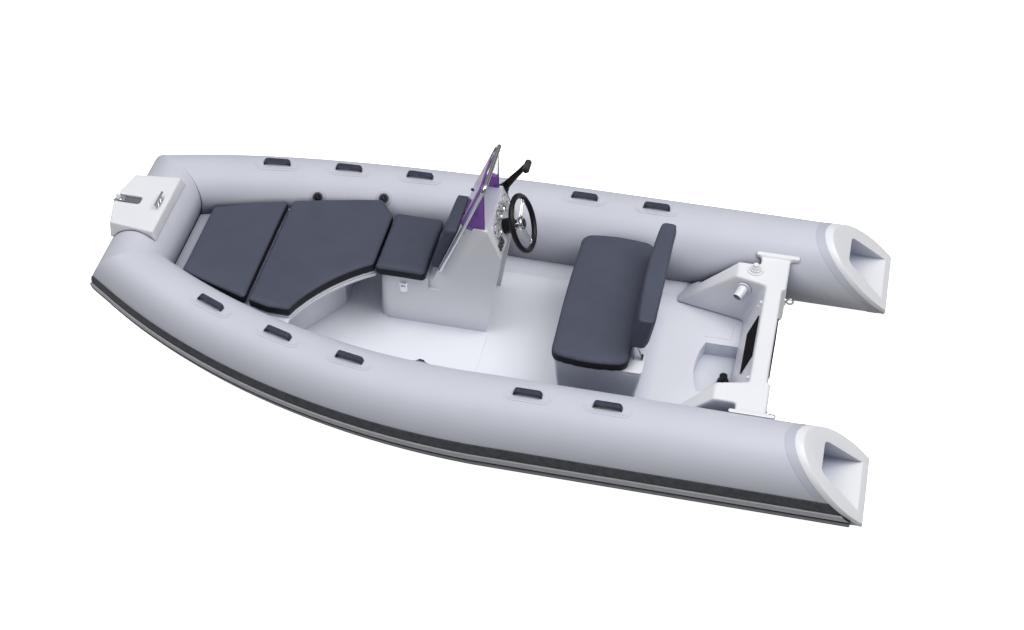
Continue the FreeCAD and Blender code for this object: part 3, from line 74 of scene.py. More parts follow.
# Colours
COLLAR = (0.585, 0.60, 0.665)
COLLAR_WORN = (0.565, 0.58, 0.645)
SEAM = (0.50, 0.515, 0.585)
SEAM_WORN = (0.485, 0.50, 0.57)
RUBBER = (0.050, 0.053, 0.065)
RUBBER_LIGHT = (0.075, 0.08, 0.095)
# Grey rubber of the thin strake rib, lightened to a painted highlight
RIB_PAINTED_HIGHLIGHT = (0.46, 0.465, 0.49)
RIB_GREY = (0.16, 0.165, 0.19)
RIB_SHADE = (0.13, 0.135, 0.16)
STRAP = (0.032, 0.035, 0.060)
STRAP_LIGHT = (0.045, 0.048, 0.078)
GELCOAT = (0.81, 0.815, 0.84)
GELCOAT_SHADE = (0.79, 0.795, 0.825)
DECK_COLOR = (0.82, 0.835, 0.88)
DECK_SHADE = (0.80, 0.815, 0.86)
VINYL = (0.071, 0.080, 0.113)
VINYL_SHADE = (0.065, 0.073, 0.104)
VINYL_SIDE = (0.009, 0.010, 0.014)
STEEL = (0.66, 0.67, 0.70)
CHROME = (0.80, 0.81, 0.83)
BLACK = (0.006, 0.006, 0.008)
BLACK_WORN = (0.011, 0.011, 0.014)
ROCKER_BLACK = (0.035, 0.036, 0.042)
ROCKER_WORN = (0.05, 0.051, 0.058)
SCREEN = (0.37, 0.15, 0.60)
SCREEN_CLEAR = (0.72, 0.71, 0.70)
VALVE = (0.070, 0.075, 0.085)
VALVE_WORN = (0.095, 0.10, 0.11)
ROLLER = (0.62, 0.62, 0.64)
DIAL = (0.02, 0.02, 0.024)
DIAL_MARK = (0.75, 0.75, 0.72)
NEEDLE_RED = (0.35, 0.03, 0.02)
NEEDLE_SHADE = (0.30, 0.025, 0.02)

# Finish, and painted shade in corners and under the tubes
BRUSH_SCALE = (40.0, 900.0, 900.0)
ACRYLIC_IOR = 1.45
# Painted shade: ambient occlusion samples, ramp stops and the blue tint of the painted shadow
PAINTED_SHADE_SAMPLES = 12
PAINTED_SHADE_STOPS = (0.12, 0.70)
PAINTED_SHADE_TINT = (0.84, 0.92, 1.14)

# Moulding radii. Melted nodes: voxel size and rounds of smoothing. Eased nodes: radius.
MELTED = (
    ("transom", 0.0065, 14), ("bow_step", 0.005, 18), ("handles_port", 0.0028, 8), ("handles_starboard", 0.0028, 8),
)
EASED = (
    ("cap_port", 0.009), ("cap_starboard", 0.009), ("console", 0.018), ("helm_box", 0.014), ("bow_pad_base", 0.004),
    ("bow_locker", 0.004), ("bow_lid", 0.003), ("console_lid", 0.003), ("helm_lid", 0.003),
)
WELD_REACH = 0.0002
FLAT_DEGREES = 1.5
SHARP_DEGREES = 38

# Round forms: radius that stands for a point, and sides
TIP_R = 0.0002
HOOP_SIDES = 16
BAR_SIDES = 12
CORNER_STEPS = 4

# Collar: radii, aft centre, slanted stern caps and the centre line of its port side towards the bow
TUBE_R = 0.228
BOW_R = 0.178
TUBE_Y = 0.762
TUBE_Z = 0.200
TUBE_AFT = Vector((0.0, TUBE_Y, TUBE_Z))
STERN_X = -2.100
CAP_LOW_Z = 0.123
CAP_SLOPE = 0.305 / 0.340
PATH = (
    Vector((-0.124, TUBE_Y, TUBE_Z)),
    Vector((0.637, TUBE_Y, TUBE_Z)),
    Vector((1.347, 0.638, 0.3085)),
    Vector((1.879, 0.363, 0.4386)),
)
PATH_STEPS = 64

# Rubbing strake: angle above the outer horizontal, height over the collar, shade of the strip that follows; the pale
# strips are grey rib with a painted highlight
STRAKE_PROFILE = (
    (11.0, 0.0004, "dark"), (10.6, 0.0036, "dark"), (9.6, 0.0046, "dark"), (2.0, 0.0050, "dark"),
    (-4.8, 0.0050, "dark"), (-5.8, 0.0062, "pale"), (-6.6, 0.0130, "pale"), (-8.2, 0.0152, "pale"),
    (-13.8, 0.0152, "pale"), (-15.4, 0.0138, "dark"), (-16.4, 0.0075, "dark"), (-18.4, 0.0075, "dark"),
    (-19.4, 0.0140, "grey"), (-21.0, 0.0160, "grey"), (-27.0, 0.0160, "grey"), (-29.0, 0.0145, "dark"),
    (-30.0, 0.0085, "dark"), (-31.6, 0.0085, "dark"), (-32.6, 0.0140, "grey"), (-34.5, 0.0152, "grey"),
    (-38.0, 0.0150, "grey"), (-40.0, 0.0130, "dark"), (-41.0, 0.0065, "dark"), (-43.0, 0.0060, "dark"),
    (-44.0, 0.0105, "dark"), (-46.0, 0.0105, "dark"), (-47.0, 0.0055, "dark"), (-50.0, 0.0048, "dark"),
    (-52.0, 0.0036, "dark"), (-52.0, 0.0004, "dark"),
)
STRAKE_SHADES = ("dark", "grey", "pale")
STRAKE_SHARP = 40
STRAKE_START_X = -2.039
STRAKE_CAP_GAP = 0.047

# Tape ahead of the stern caps: way ahead and height over the collar
TAPE_PROFILE = ((0.0425, 0.0), (0.0425, 0.0012), (0.096, 0.0012), (0.098, 0.0))
TAPE_LIFT = 0.0003
TAPE_STEPS = 72

# Valves: place along the boat, degrees above the inner horizontal and side
VALVES = ((1.151, 36, -1), (0.773, 46, -1), (0.250, 37, 1))
VALVE_PROFILE = (
    (0.043, -0.002), (0.043, 0.0018), (0.0415, 0.0022), (0.029, 0.0024), (0.0275, 0.0030), (0.0270, 0.0062),
    (0.0255, 0.0078), (0.0200, 0.0082), (0.0190, 0.0070), (0.0172, 0.0070), (0.0168, 0.0135), (0.0150, 0.0150),
    (0.0110, 0.0155), (0.0100, 0.0140), (0.0, 0.0138),
)
VALVE_STEPS = 40
VALVE_SHARP = 32
PATCH_R = 0.0265
PATCH_LIFT = 0.0006
RIDGE_HALF = 0.010
RIDGE_LIFT = 0.0155
RIDGE_WIDE = 0.004
RIDGE_THICK = 0.003

# Steering wheel and dash
DASH_LOW = Vector((-0.063, 0.0, 0.590))
DASH_WAY = Vector((0.3723, 0.0, 0.9281))
DASH_NORMAL = Vector((-0.9281, 0.0, 0.3723))
WHEEL_CENTRE = Vector((-0.1385, -0.205, 0.6892))
RIM_MAJOR = 0.147
RIM_MINOR = 0.015
SPOKE_ANGLES = (30, 150, 270)
# Halves of a slotted spoke: way out, depth under the rim, way aside and width
SPOKE_LINE = (
    (0.022, 0.012, 0.013, 0.010), (0.057, 0.012, 0.011, 0.0085), (0.100, 0.006, 0.009, 0.0075),
    (0.135, 0.0, 0.012, 0.010),
)
SPOKE_THICK = 0.006
# Plates at the spoke's ends: way out of both ends, depth, widths and thickness
SPOKE_PLATES = (((0.121, 0.141), 0.0, (0.036, 0.040), 0.010), ((0.022, 0.048), 0.012, (0.040, 0.030), 0.009))
BOSS_PROFILE = (
    (0.0, -0.030), (0.026, -0.030), (0.032, -0.026), (0.036, -0.016), (0.038, -0.004), (0.036, 0.002),
    (0.031, 0.006), (0.026, 0.0075),
)
BOSS_CAP_PROFILE = ((0.025, 0.004), (0.025, 0.0085), (0.021, 0.0105), (0.0, 0.0115))
SHAFT_PROFILE = ((0.010, -0.085), (0.010, -0.028))

# Dials: way up the dash, place across and radius; profiles start at that radius
DIALS = ((0.126, -0.332, 0.044), (0.152, -0.258, 0.029), (0.152, -0.196, 0.029), (0.118, -0.108, 0.044))
BEZEL_PROFILE = ((-0.003, 0.0), (0.0, 0.001), (0.0, 0.007), (-0.002, 0.0105), (-0.005, 0.011), (-0.008, 0.0065))
FACE_PROFILE = ((-0.0075, 0.004), (-0.0085, 0.0072))
FACE_HEIGHT = 0.0073
FACE_INSET = 0.009
DIAL_SWEEP = 240
DIAL_TICKS = 12
TICK_REACH = 0.95
TICK_LONG = 0.26
TICK_SHORT = 0.16
TICK_WIDE = 0.06
TICK_THICK = 0.0006
TICK_LIFT = 0.0075
NEEDLE_DEGREES = 205
NEEDLE_REACH = (-0.2, 0.8)
NEEDLE_WIDE = (0.10, 0.04)
NEEDLE_THICK = 0.0008
NEEDLE_LIFT = 0.0085
PIN_PROFILE = ((0.13, 0.0075), (0.12, 0.0098))
PIN_HEIGHT = 0.0102

# Switch panel: place, pitch of the rows and columns, sizes
SWITCH_UP = 0.045
SWITCH_Y = -0.084
SWITCH_ROWS = 0.0115
SWITCH_COLUMNS = 0.029
SWITCH_PLATE = (0.094, 0.050, 0.005)
SWITCH_KEY = (0.024, 0.018, 0.0035)
SWITCH_MARK = (0.008, 0.0026, 0.0005)
SWITCH_KEY_OUT = 0.0045
SWITCH_MARK_OUT = 0.0078
SWITCH_MARK_UP = 0.004

# Windscreen: near and far wing, bottom line, fold line and top
WING_NEAR_Y = -0.024
WING_FAR_Y = -0.366
WING_AFT_X = 0.026
WING_LOW_Z = 0.722
WING_SHARE = 0.86
WING_STEPS = 8
WING_TOE = 0.02
WING_TOE_STEPS = 1.5
FOLD_LOW = (0.158, 0.780)
FOLD_HIGH = (0.048, 1.047)
FOLD_R = 0.03
FOLD_STEPS = 6
FOLD_FLAT = 0.6
PANE_STEPS = 8
SCREEN_ROWS = 12
SCREEN_THICK = 0.005
SCREEN_SHARP = 30
# The far wing's upper part shows clear
CLEAR_DEPTH = 0.02
CLEAR_Z = 0.86
SCREW_PROFILE = ((0.0075, -0.006), (0.0075, 0.001), (0.006, 0.0035), (0.0, 0.0045))
SCREW_STEPS = 20
WING_SCREWS = ((0.046, 0.752), (0.128, 0.786))
WING_SCREW_SINK = 0.003
PANE_SCREWS = (Vector((0.158, -0.10, 0.800)), Vector((0.158, -0.29, 0.800)))
PANE_WAY = Vector((0.92, 0.0, 0.38))

# Engine control
CONTROL_Y = -0.3853
CONTROL_TOP = Vector((-0.122, -0.412, 0.931))
HOUSING_PLACE = Vector((0.025, CONTROL_Y, 0.712))
HOUSING_SIZE = (0.080, 0.100, 0.030)
CONTROL_PIVOT = Vector((0.006, CONTROL_Y, 0.742))
ARM_OUT = 0.027
ARM_BENDS = (Vector((-0.040, 0.0, 0.062)), Vector((-0.085, 0.0, 0.125)))
ARM_WIDTHS = (0.046, 0.038, 0.031, 0.028)
ARM_THICK = 0.018
HUB_OUT = 0.010
HUB_PROFILE = ((0.026, 0.0), (0.026, 0.024), (0.023, 0.028), (0.0, 0.029))
GRIP_BACK = 0.012
GRIP_PROFILE = ((0.012, 0.0), (0.0175, 0.002), (0.019, 0.008), (0.019, 0.070), (0.0175, 0.076), (0.012, 0.079))
KNOB_OUT = 0.002
KNOB_PROFILE = ((0.008, 0.0), (0.008, 0.004), (0.006, 0.0055), (0.0, 0.006))

# Seat latch: slabs with way out, way up, size and rounding; rods with way out and up of both ends; screws
LATCH_PLACE = Vector((0.480, -0.0048, 0.283))
LATCH_SLABS = (
    (0.0, 0.0, (0.078, 0.044, 0.003), 0.2), (0.003, -0.012, (0.042, 0.026, 0.006), 0.3),
    (0.003, 0.028, (0.014, 0.032, 0.007), 0.3),
)
LATCH_ROD = ((0.0075, -0.020), (0.0095, 0.030))
LATCH_ROD_X = 0.012
LATCH_ROD_WIDE = 0.004
LATCH_SCREW_X = 0.017
LATCH_SCREW_OUT = 0.0028
LATCH_SCREW_UP = 0.034
LATCH_SCREW_PROFILE = ((0.0035, 0.0), (0.0035, 0.0012), (0.002, 0.002), (0.0, 0.0021))

# Bow flap and drain plugs
FLAP_HALF = 0.30
FLAP_STEPS = 24
FLAP_OUTLINE = ((1.690, 0.322), (1.690, 0.318), (1.760, 0.288), (1.764, 0.292))
PLUGS = (Vector((-1.4358, -0.252, 0.324)), Vector((-1.4234, -0.257, 0.285)), Vector((-1.4358, 0.312, 0.324)))
PLUG_WAY = Vector((0.953, 0.0, 0.302))
PLUG_PROFILE = (
    (0.013, -0.004), (0.013, 0.002), (0.0115, 0.0035), (0.009, 0.004), (0.0085, 0.009), (0.006, 0.0125),
    (0.0, 0.0135),
)

# Cushions: height of the darker boxing's edge, cloth, and how far the ends in x, y and z move out
PAD_RIM_LOW = 0.417
PAD_RIM_HIGH = 0.423
PAD_VOXEL = 0.008
PAD_PRESSURE = 4.0
PAD_QUALITY = 4
PAD_FRAMES = 20
PAD_CAP = 0.007
PAD_FLOOR = 0.001
EVEN = ((0.0, 0.0), (0.002, 0.002), (-0.003, 0.0))
HELM_MORE = ((0.0, 0.018), (0.036, 0.012), (-0.003, 0.002))
SEAT_MORE = ((0.0, 0.010), (0.036, 0.028), (-0.003, 0.002))
REST_MORE = ((-0.003, -0.003), (0.0, 0.0), (0.0, 0.0))


def shaded(color, by):
    """Colour times a factor."""
    return tuple(c * by for c in color)


def material(name, color, roughness, metallic=0.0):
    """New principled material."""
    made = bpy.data.materials.new(name)
    made.use_nodes = True
    shader = made.node_tree.nodes["Principled BSDF"]
    shader.inputs["Base Color"].default_value = (*color, 1.0)
    shader.inputs["Roughness"].default_value = roughness
    shader.inputs["Metallic"].default_value = metallic
    return made, shader


def coordinates(made):
    """Object coordinates of a material, made once."""
    tree = made.node_tree
    found = tree.nodes.get("Places")
    if not found:
        found = tree.nodes.new("ShaderNodeTexCoord")
        found.name = "Places"
    return found.outputs["Object"]


def noise_node(made, scale, detail):
    """Noise over the object's own coordinates."""
    texture = made.node_tree.nodes.new("ShaderNodeTexNoise")
    texture.inputs["Scale"].default_value = scale
    texture.inputs["Detail"].default_value = detail
    made.node_tree.links.new(coordinates(made), texture.inputs["Vector"])
    return texture


def ramp_node(tree, stops):
    """Colour ramp through stops of place and colour."""
    ramp = tree.nodes.new("ShaderNodeValToRGB")
    while len(ramp.color_ramp.elements) < len(stops):
        ramp.color_ramp.elements.new(0.5)
    for element, (place, color) in zip(ramp.color_ramp.elements, stops):
        element.position = place
        element.color = (*color, 1.0)
    return ramp


def mixed(tree, mode, factor, first, second):
    """Mix of two colours; each entry is a socket or a plain value."""
    blend = tree.nodes.new("ShaderNodeMix")
    blend.data_type = "RGBA"
    blend.blend_type = mode
    for key, entry in (("Factor", factor), ("A", first), ("B", second)):
        if isinstance(entry, bpy.types.NodeSocket):
            tree.links.new(entry, blend.inputs[key])
        else:
            blend.inputs[key].default_value = entry
    return blend.outputs["Result"]


def mottle(made, shader, first, second, scale):
    """Let the colour drift between two shades."""
    tree = made.node_tree
    ramp = ramp_node(tree, ((0.35, first), (0.65, second)))
    tree.links.new(noise_node(made, scale, 4.0).outputs["Fac"], ramp.inputs["Fac"])
    tree.links.new(ramp.outputs["Color"], shader.inputs["Base Color"])


def rough_spread(made, shader, low, high, scale):
    """Let the gloss vary in soft patches."""
    tree = made.node_tree
    spread = tree.nodes.new("ShaderNodeMapRange")
    spread.inputs["To Min"].default_value = low
    spread.inputs["To Max"].default_value = high
    tree.links.new(noise_node(made, scale, 3.0).outputs["Fac"], spread.inputs["Value"])
    tree.links.new(spread.outputs["Result"], shader.inputs["Roughness"])


def bump(made, shader, height, strength, distance):
    """Bump from a height socket, chained onto what is there."""
    tree = made.node_tree
    node = tree.nodes.new("ShaderNodeBump")
    node.inputs["Strength"].default_value = strength
    node.inputs["Distance"].default_value = distance
    tree.links.new(height, node.inputs["Height"])
    before = shader.inputs["Normal"].links
    if before:
        tree.links.new(before[0].from_socket, node.inputs["Normal"])
    tree.links.new(node.outputs["Normal"], shader.inputs["Normal"])


def ripple(made, shader, scale, detail, strength, distance):
    """Soft unevenness of a moulded or stretched skin."""
    bump(made, shader, noise_node(made, scale, detail).outputs["Fac"], strength, distance)


def weave(made, shader, pitch, strength):
    """Crossed threads of a coated fabric."""
    tree = made.node_tree
    total = None
    for direction in ("X", "Y", "Z"):
        wave = tree.nodes.new("ShaderNodeTexWave")
        wave.bands_direction = direction
        wave.inputs["Scale"].default_value = 1.0 / pitch / 20.0
        tree.links.new(coordinates(made), wave.inputs["Vector"])
        if total is None:
            total = wave.outputs["Fac"]
        else:
            joined = tree.nodes.new("ShaderNodeMath")
            joined.operation = "ADD"
            tree.links.new(total, joined.inputs[0])
            tree.links.new(wave.outputs["Fac"], joined.inputs[1])
            total = joined.outputs["Value"]
    bump(made, shader, total, strength, pitch * 0.2)


def grain(made, shader, size, strength):
    """Pebbled grain of vinyl or moulded plastic."""
    texture = made.node_tree.nodes.new("ShaderNodeTexVoronoi")
    texture.inputs["Scale"].default_value = 1.0 / size
    made.node_tree.links.new(coordinates(made), texture.inputs["Vector"])
    bump(made, shader, texture.outputs["Distance"], strength, size * 0.3)


def brushed(made, shader, strength):
    """Fine lines of rolled or polished metal."""
    tree = made.node_tree
    stretch = tree.nodes.new("ShaderNodeMapping")
    stretch.inputs["Scale"].default_value = BRUSH_SCALE
    texture = tree.nodes.new("ShaderNodeTexNoise")
    texture.inputs["Scale"].default_value = 1.0
    tree.links.new(coordinates(made), stretch.inputs["Vector"])
    tree.links.new(stretch.outputs["Vector"], texture.inputs["Vector"])
    bump(made, shader, texture.outputs["Fac"], strength, 0.0002)


def painted_shade(made, shader, reach, low):
    """Painted shade: darker colour where a surface lies close to others, as in corners and under the tubes."""
    tree = made.node_tree
    near = tree.nodes.new("ShaderNodeAmbientOcclusion")
    near.inputs["Distance"].default_value = reach
    near.samples = PAINTED_SHADE_SAMPLES
    deep = tuple(low * tint for tint in PAINTED_SHADE_TINT)
    ramp = ramp_node(tree, ((PAINTED_SHADE_STOPS[0], deep), (PAINTED_SHADE_STOPS[1], (1.0, 1.0, 1.0))))
    tree.links.new(near.outputs["AO"], ramp.inputs["Fac"])
    before = shader.inputs["Base Color"].links[0].from_socket
    result = mixed(tree, "MULTIPLY", 1.0, before, ramp.outputs["Color"])
    tree.links.new(result, shader.inputs["Base Color"])


def coated_fabric(name, first, second):
    """Light grey fabric of the collar."""
    made, shader = material(name, first, 0.42)
    mottle(made, shader, first, second, scale=3.0)
    # Painted shade on the collar, down to 0.12 of its colour in the deepest corners
    painted_shade(made, shader, reach=0.45, low=0.12)
    rough_spread(made, shader, low=0.36, high=0.5, scale=9.0)
    weave(made, shader, pitch=0.0012, strength=0.12)
    ripple(made, shader, scale=5.0, detail=2.0, strength=0.05, distance=0.01)
    shader.inputs["Specular IOR Level"].default_value = 0.4
    return made


def moulded_rubber(name, dark, light, roughness, gloss=0.3):
    """Rubber or plastic with a faint grain."""
    made, shader = material(name, dark, roughness)
    mottle(made, shader, dark, light, scale=30.0)
    grain(made, shader, size=0.0015, strength=0.15)
    shader.inputs["Specular IOR Level"].default_value = gloss
    return made


def gelcoat(name, first, second, grip):
    """White moulded gelcoat; grip adds the fine tread of the deck."""
    made, shader = material(name, first, 0.3)
    mottle(made, shader, first, second, scale=2.5)
    # Painted shade on the gelcoat near other parts, with a shorter reach on the deck
    painted_shade(made, shader, reach=0.18 if grip else 0.30, low=0.52)
    rough_spread(made, shader, low=0.26, high=0.4, scale=6.0)
    ripple(made, shader, scale=8.0, detail=2.0, strength=0.04, distance=0.01)
    if grip:
        grain(made, shader, size=0.003, strength=0.25)
    shader.inputs["Coat Weight"].default_value = 0.15
    shader.inputs["Coat Roughness"].default_value = 0.12
    return made


def darker_sides(made, shader):
    """Near-black boxing below the rim of a seat pad."""
    tree = made.node_tree
    split = tree.nodes.new("ShaderNodeSeparateXYZ")
    tree.links.new(coordinates(made), split.inputs["Vector"])
    level = tree.nodes.new("ShaderNodeMapRange")
    level.inputs["From Min"].default_value = PAD_RIM_LOW
    level.inputs["From Max"].default_value = PAD_RIM_HIGH
    tree.links.new(split.outputs["Z"], level.inputs["Value"])
    before = shader.inputs["Base Color"].links[0].from_socket
    result = mixed(tree, "MIX", level.outputs["Result"], (*VINYL_SIDE, 1.0), before)
    tree.links.new(result, shader.inputs["Base Color"])


def vinyl(name, two_tone):
    """Dark slate upholstery; two_tone gives it near-black sides."""
    made, shader = material(name, VINYL, 0.55)
    mottle(made, shader, VINYL, VINYL_SHADE, scale=6.0)
    if two_tone:
        darker_sides(made, shader)
    rough_spread(made, shader, low=0.5, high=0.64, scale=14.0)
    grain(made, shader, size=0.0018, strength=0.3)
    ripple(made, shader, scale=14.0, detail=3.0, strength=0.1, distance=0.006)
    shader.inputs["Specular IOR Level"].default_value = 0.25
    return made


def metal(name, color, roughness, lines):
    """Bright metal with fine polishing lines."""
    made, shader = material(name, color, roughness, metallic=1.0)
    mottle(made, shader, color, shaded(color, 0.93), scale=20.0)
    brushed(made, shader, lines)
    return made


def acrylic(name, color, clearness):
    """See-through sheet."""
    made, shader = material(name, color, 0.04)
    mottle(made, shader, color, shaded(color, 0.9), scale=4.0)
    shader.inputs["Transmission Weight"].default_value = clearness
    shader.inputs["IOR"].default_value = ACRYLIC_IOR
    return made


def dial_glass():
    """Dark, glossy print of the marks on the dials."""
    made, shader = material("dial_face", DIAL, 0.25)
    mottle(made, shader, DIAL, shaded(DIAL, 1.3), scale=60.0)
    shader.inputs["Coat Weight"].default_value = 0.6
    shader.inputs["Coat Roughness"].default_value = 0.05
    return made


FABRIC = coated_fabric("collar_fabric", COLLAR, COLLAR_WORN)
STRAKE_RIB = moulded_rubber("strake_rib", RIB_GREY, RIB_SHADE, 0.38)
SEAM_FABRIC = coated_fabric("seam_fabric", SEAM, SEAM_WORN)
ROCKER = moulded_rubber("rocker_plastic", ROCKER_BLACK, ROCKER_WORN, 0.3)
NEEDLE = moulded_rubber("needle_red", NEEDLE_RED, NEEDLE_SHADE, 0.4)
# Pale strip of the strake: painted highlight on the thin rib
STRAKE_PAINTED_HIGHLIGHT = moulded_rubber("strake_painted_highlight", RIB_PAINTED_HIGHLIGHT, shaded(RIB_PAINTED_HIGHLIGHT, 0.92), 0.36)
DIAL_FACE = dial_glass()
MARKING = moulded_rubber("dial_marking", DIAL_MARK, shaded(DIAL_MARK, 0.95), 0.5)
STRAKE_RUBBER = moulded_rubber("strake_rubber", RUBBER, RUBBER_LIGHT, 0.45)
STRAP_RUBBER = moulded_rubber("strap_rubber", STRAP, STRAP_LIGHT, 0.5)
WHITE = gelcoat("gelcoat_plain", GELCOAT, GELCOAT_SHADE, grip=False)
DECK_WHITE = gelcoat("gelcoat_deck", DECK_COLOR, DECK_SHADE, grip=True)
UPHOLSTERY = vinyl("vinyl_plain", two_tone=False)
SEAT_UPHOLSTERY = vinyl("vinyl_seat", two_tone=True)
BRIGHT = metal("polished_steel", STEEL, 0.16, lines=0.08)
MIRROR = metal("chrome", CHROME, 0.07, lines=0.03)
DARK = moulded_rubber("black_plastic", BLACK, BLACK_WORN, 0.38)
ACRYLIC = acrylic("screen_acrylic", SCREEN, clearness=0.5)
CLEAR = acrylic("screen_clear", SCREEN_CLEAR, clearness=0.85)
VALVE_PLASTIC = moulded_rubber("valve_plastic", VALVE, VALVE_WORN, 0.45)
CLAMP_BLACK = moulded_rubber("clamp_plate", BLACK, BLACK_WORN, 0.8, gloss=0.05)
ROLLER_PLASTIC = moulded_rubber("roller_plastic", ROLLER, shaded(ROLLER, 0.9), 0.4)

NODE_MATERIALS = {
    FABRIC: ("tube_port", "tube_starboard", "tube_bow", "handle_pads_port", "handle_pads_starboard"),
    STRAKE_RUBBER: ("strake_port", "strake_starboard", "strake_bow"),
    STRAP_RUBBER: ("handles_port", "handles_starboard"),
    WHITE: ("cap_port", "cap_starboard", "hull", "transom", "console", "console_lid", "helm_box", "helm_lid",
            "bow_locker", "bow_lid", "bow_pad_base", "bow_step", "rigging_boot", "rigging_pipe"),
    DECK_WHITE: ("deck",),
    UPHOLSTERY: ("console_backrest", "console_cushion", "helm_cushion", "helm_backrest", "bow_cushion_front",
                 "bow_cushion_aft"),
    BRIGHT: ("seat_latch", "screen_rail", "helm_arms", "helm_brackets", "roller_bracket", "tow_eyes"),
    MIRROR: ("bow_cleat",),
    CLAMP_BLACK: ("engine_pads",),
    DARK: ("switch_panel", "throttle", "steering_hub", "steering_wheel", "gauges", "bilge_pump"),
    ACRYLIC: ("windscreen",),
    VALVE_PLASTIC: ("valves",),
    ROLLER_PLASTIC: ("anchor_roller",),
}


def dress(obj, made):
    """Give an object one material."""
    if obj.material_slots:
        for entry in obj.material_slots:
            entry.material = made
    else:
        obj.data.materials.append(made)


def melted(name, voxel, rounds):
    """Moulding radii: a solid node remeshed evenly and smoothed."""
    obj = nodes[name]
    remesh = obj.modifiers.new("Even", "REMESH")
    remesh.mode = "VOXEL"
    remesh.voxel_size = voxel
    remesh.use_smooth_shade = True
    soft = obj.modifiers.new("Soft", "SMOOTH")
    soft.factor = 0.5
    soft.iterations = rounds


def eased(name, width):
    """Small radius along the sharp edges of a thin-walled node."""
    obj = nodes[name]
    weld = obj.modifiers.new("Weld", "WELD")
    weld.merge_threshold = WELD_REACH
    flat = obj.modifiers.new("Flat", "DECIMATE")
    flat.decimate_type = "DISSOLVE"
    flat.angle_limit = math.radians(FLAT_DEGREES)
    edge = obj.modifiers.new("Edge", "BEVEL")
    edge.width = width
    edge.segments = 3
    edge.limit_method = "ANGLE"
    edge.angle_limit = math.radians(SHARP_DEGREES)
    edge.harden_normals = False


for made, names in NODE_MATERIALS.items():
    for name in names:
        dress(nodes[name], made)
for name, voxel, rounds in MELTED:
    melted(name, voxel, rounds)
for name, width in EASED:
    eased(name, width)


def placed(name, data):
    """New object in the scene."""
    obj = bpy.data.objects.new(name, data)
    bpy.context.scene.collection.objects.link(obj)
    return obj


def shape():
    """Empty store of points, faces and material marks."""
    return {"verts": [], "faces": [], "marks": []}


def grow(store, rows, mark, closed=True, capped=True):
    """Add a skin through rows of points; mark is its material, or a list with one for each strip."""
    first = len(store["verts"])
    count = len(rows[0])
    strips = mark if isinstance(mark, list) else [mark] * count
    for row in rows:
        store["verts"] += [tuple(place) for place in row]
    for i in range(len(rows) - 1):
        for j in range(count if closed else count - 1):
            k = (j + 1) % count
            a = first + i * count
            b = a + count
            store["faces"].append((a + j, a + k, b + k, b + j))
            store["marks"].append(strips[j])
    if capped:
        last = first + (len(rows) - 1) * count
        store["faces"].append(tuple(first + j for j in range(count))[::-1])
        store["faces"].append(tuple(last + j for j in range(count)))
        store["marks"] += [strips[0]] * 2


def oval(centre, side, other, wide, high, steps):
    """Points round an oval; wide and high are its half axes along side and other."""
    turns = [2 * math.pi * step / steps for step in range(steps)]
    return [centre + side * (wide * math.cos(a)) + other * (high * math.sin(a)) for a in turns]


def circle(centre, axis, radius, steps):
    """Points round an axis."""
    side = axis.orthogonal().normalized()
    return oval(centre, side, axis.cross(side).normalized(), radius, radius, steps)


def turned(store, centre, axis, profile, mark, steps=48):
    """Form turned round an axis; profile lists radius and height."""
    grow(store, [circle(centre + axis * height, axis, max(radius, TIP_R), steps) for radius, height in profile], mark)


def hoop(store, centre, axis, major, minor, mark, steps=96):
    """Ring with a round section."""
    side = axis.orthogonal().normalized()
    other = axis.cross(side).normalized()
    rows = []
    for step in range(steps + 1):
        angle = 2 * math.pi * step / steps
        out = side * math.cos(angle) + other * math.sin(angle)
        rows.append(oval(centre + out * major, out, axis, minor, minor, HOOP_SIDES))
    grow(store, rows, mark, capped=False)


def bar(store, points, widths, thick, across, mark):
    """Flat bar with rounded edges along points."""
    rows = []
    for i, place in enumerate(points):
        way = (points[min(i + 1, len(points) - 1)] - points[max(i - 1, 0)]).normalized()
        rows.append(oval(place, across, way.cross(across).normalized(), widths[i] / 2, thick / 2, BAR_SIDES))
    grow(store, rows, mark)


def slab(store, centre, along, across, size, mark, round_by):
    """Rounded rectangular key, pad or plate; size gives length, width and height, round_by the corners' share."""
    length, width, height = size
    up = along.cross(across).normalized()
    corner = round_by * min(length, width)
    rows = []
    lifts = ((0.0, 0.0), (0.0, height * 0.7), (height * 0.2, height * 0.93), (height * 0.5, height))
    for inset, lift in lifts:
        row = []
        for quarter, (sign_a, sign_b) in enumerate(((1, 1), (-1, 1), (-1, -1), (1, -1))):
            middle_a = sign_a * (length / 2 - corner)
            middle_b = sign_b * (width / 2 - corner)
            for step in range(CORNER_STEPS + 1):
                angle = math.radians(90 * (quarter + step / CORNER_STEPS))
                a = middle_a + (corner - inset) * math.cos(angle)
                b = middle_b + (corner - inset) * math.sin(angle)
                row.append(centre + along * a + across * b + up * lift)
        rows.append(row)
    grow(store, rows, mark)


def finished(name, store, made, body, sharp=SHARP_DEGREES):
    """Object from a store of points and faces."""
    mesh = bpy.data.meshes.new(name)
    mesh.from_pydata(store["verts"], [], store["faces"])
    for entry in made:
        mesh.materials.append(entry)
    mesh.polygons.foreach_set("material_index", store["marks"])
    solid = bmesh.new()
    solid.from_mesh(mesh)
    bmesh.ops.recalc_face_normals(solid, faces=solid.faces)
    solid.to_mesh(mesh)
    solid.free()
    mesh.polygons.foreach_set("use_smooth", [True] * len(mesh.polygons))
    mesh.set_sharp_from_angle(angle=math.radians(sharp))
    obj = placed(name, mesh)
    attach(obj, body)
    return obj


def path_point(t):
    """Point on the curved part of the port collar's centre line."""
    s = 1 - t
    return PATH[0] * s**3 + PATH[1] * (3 * s * s * t) + PATH[2] * (3 * s * t * t) + PATH[3] * t**3


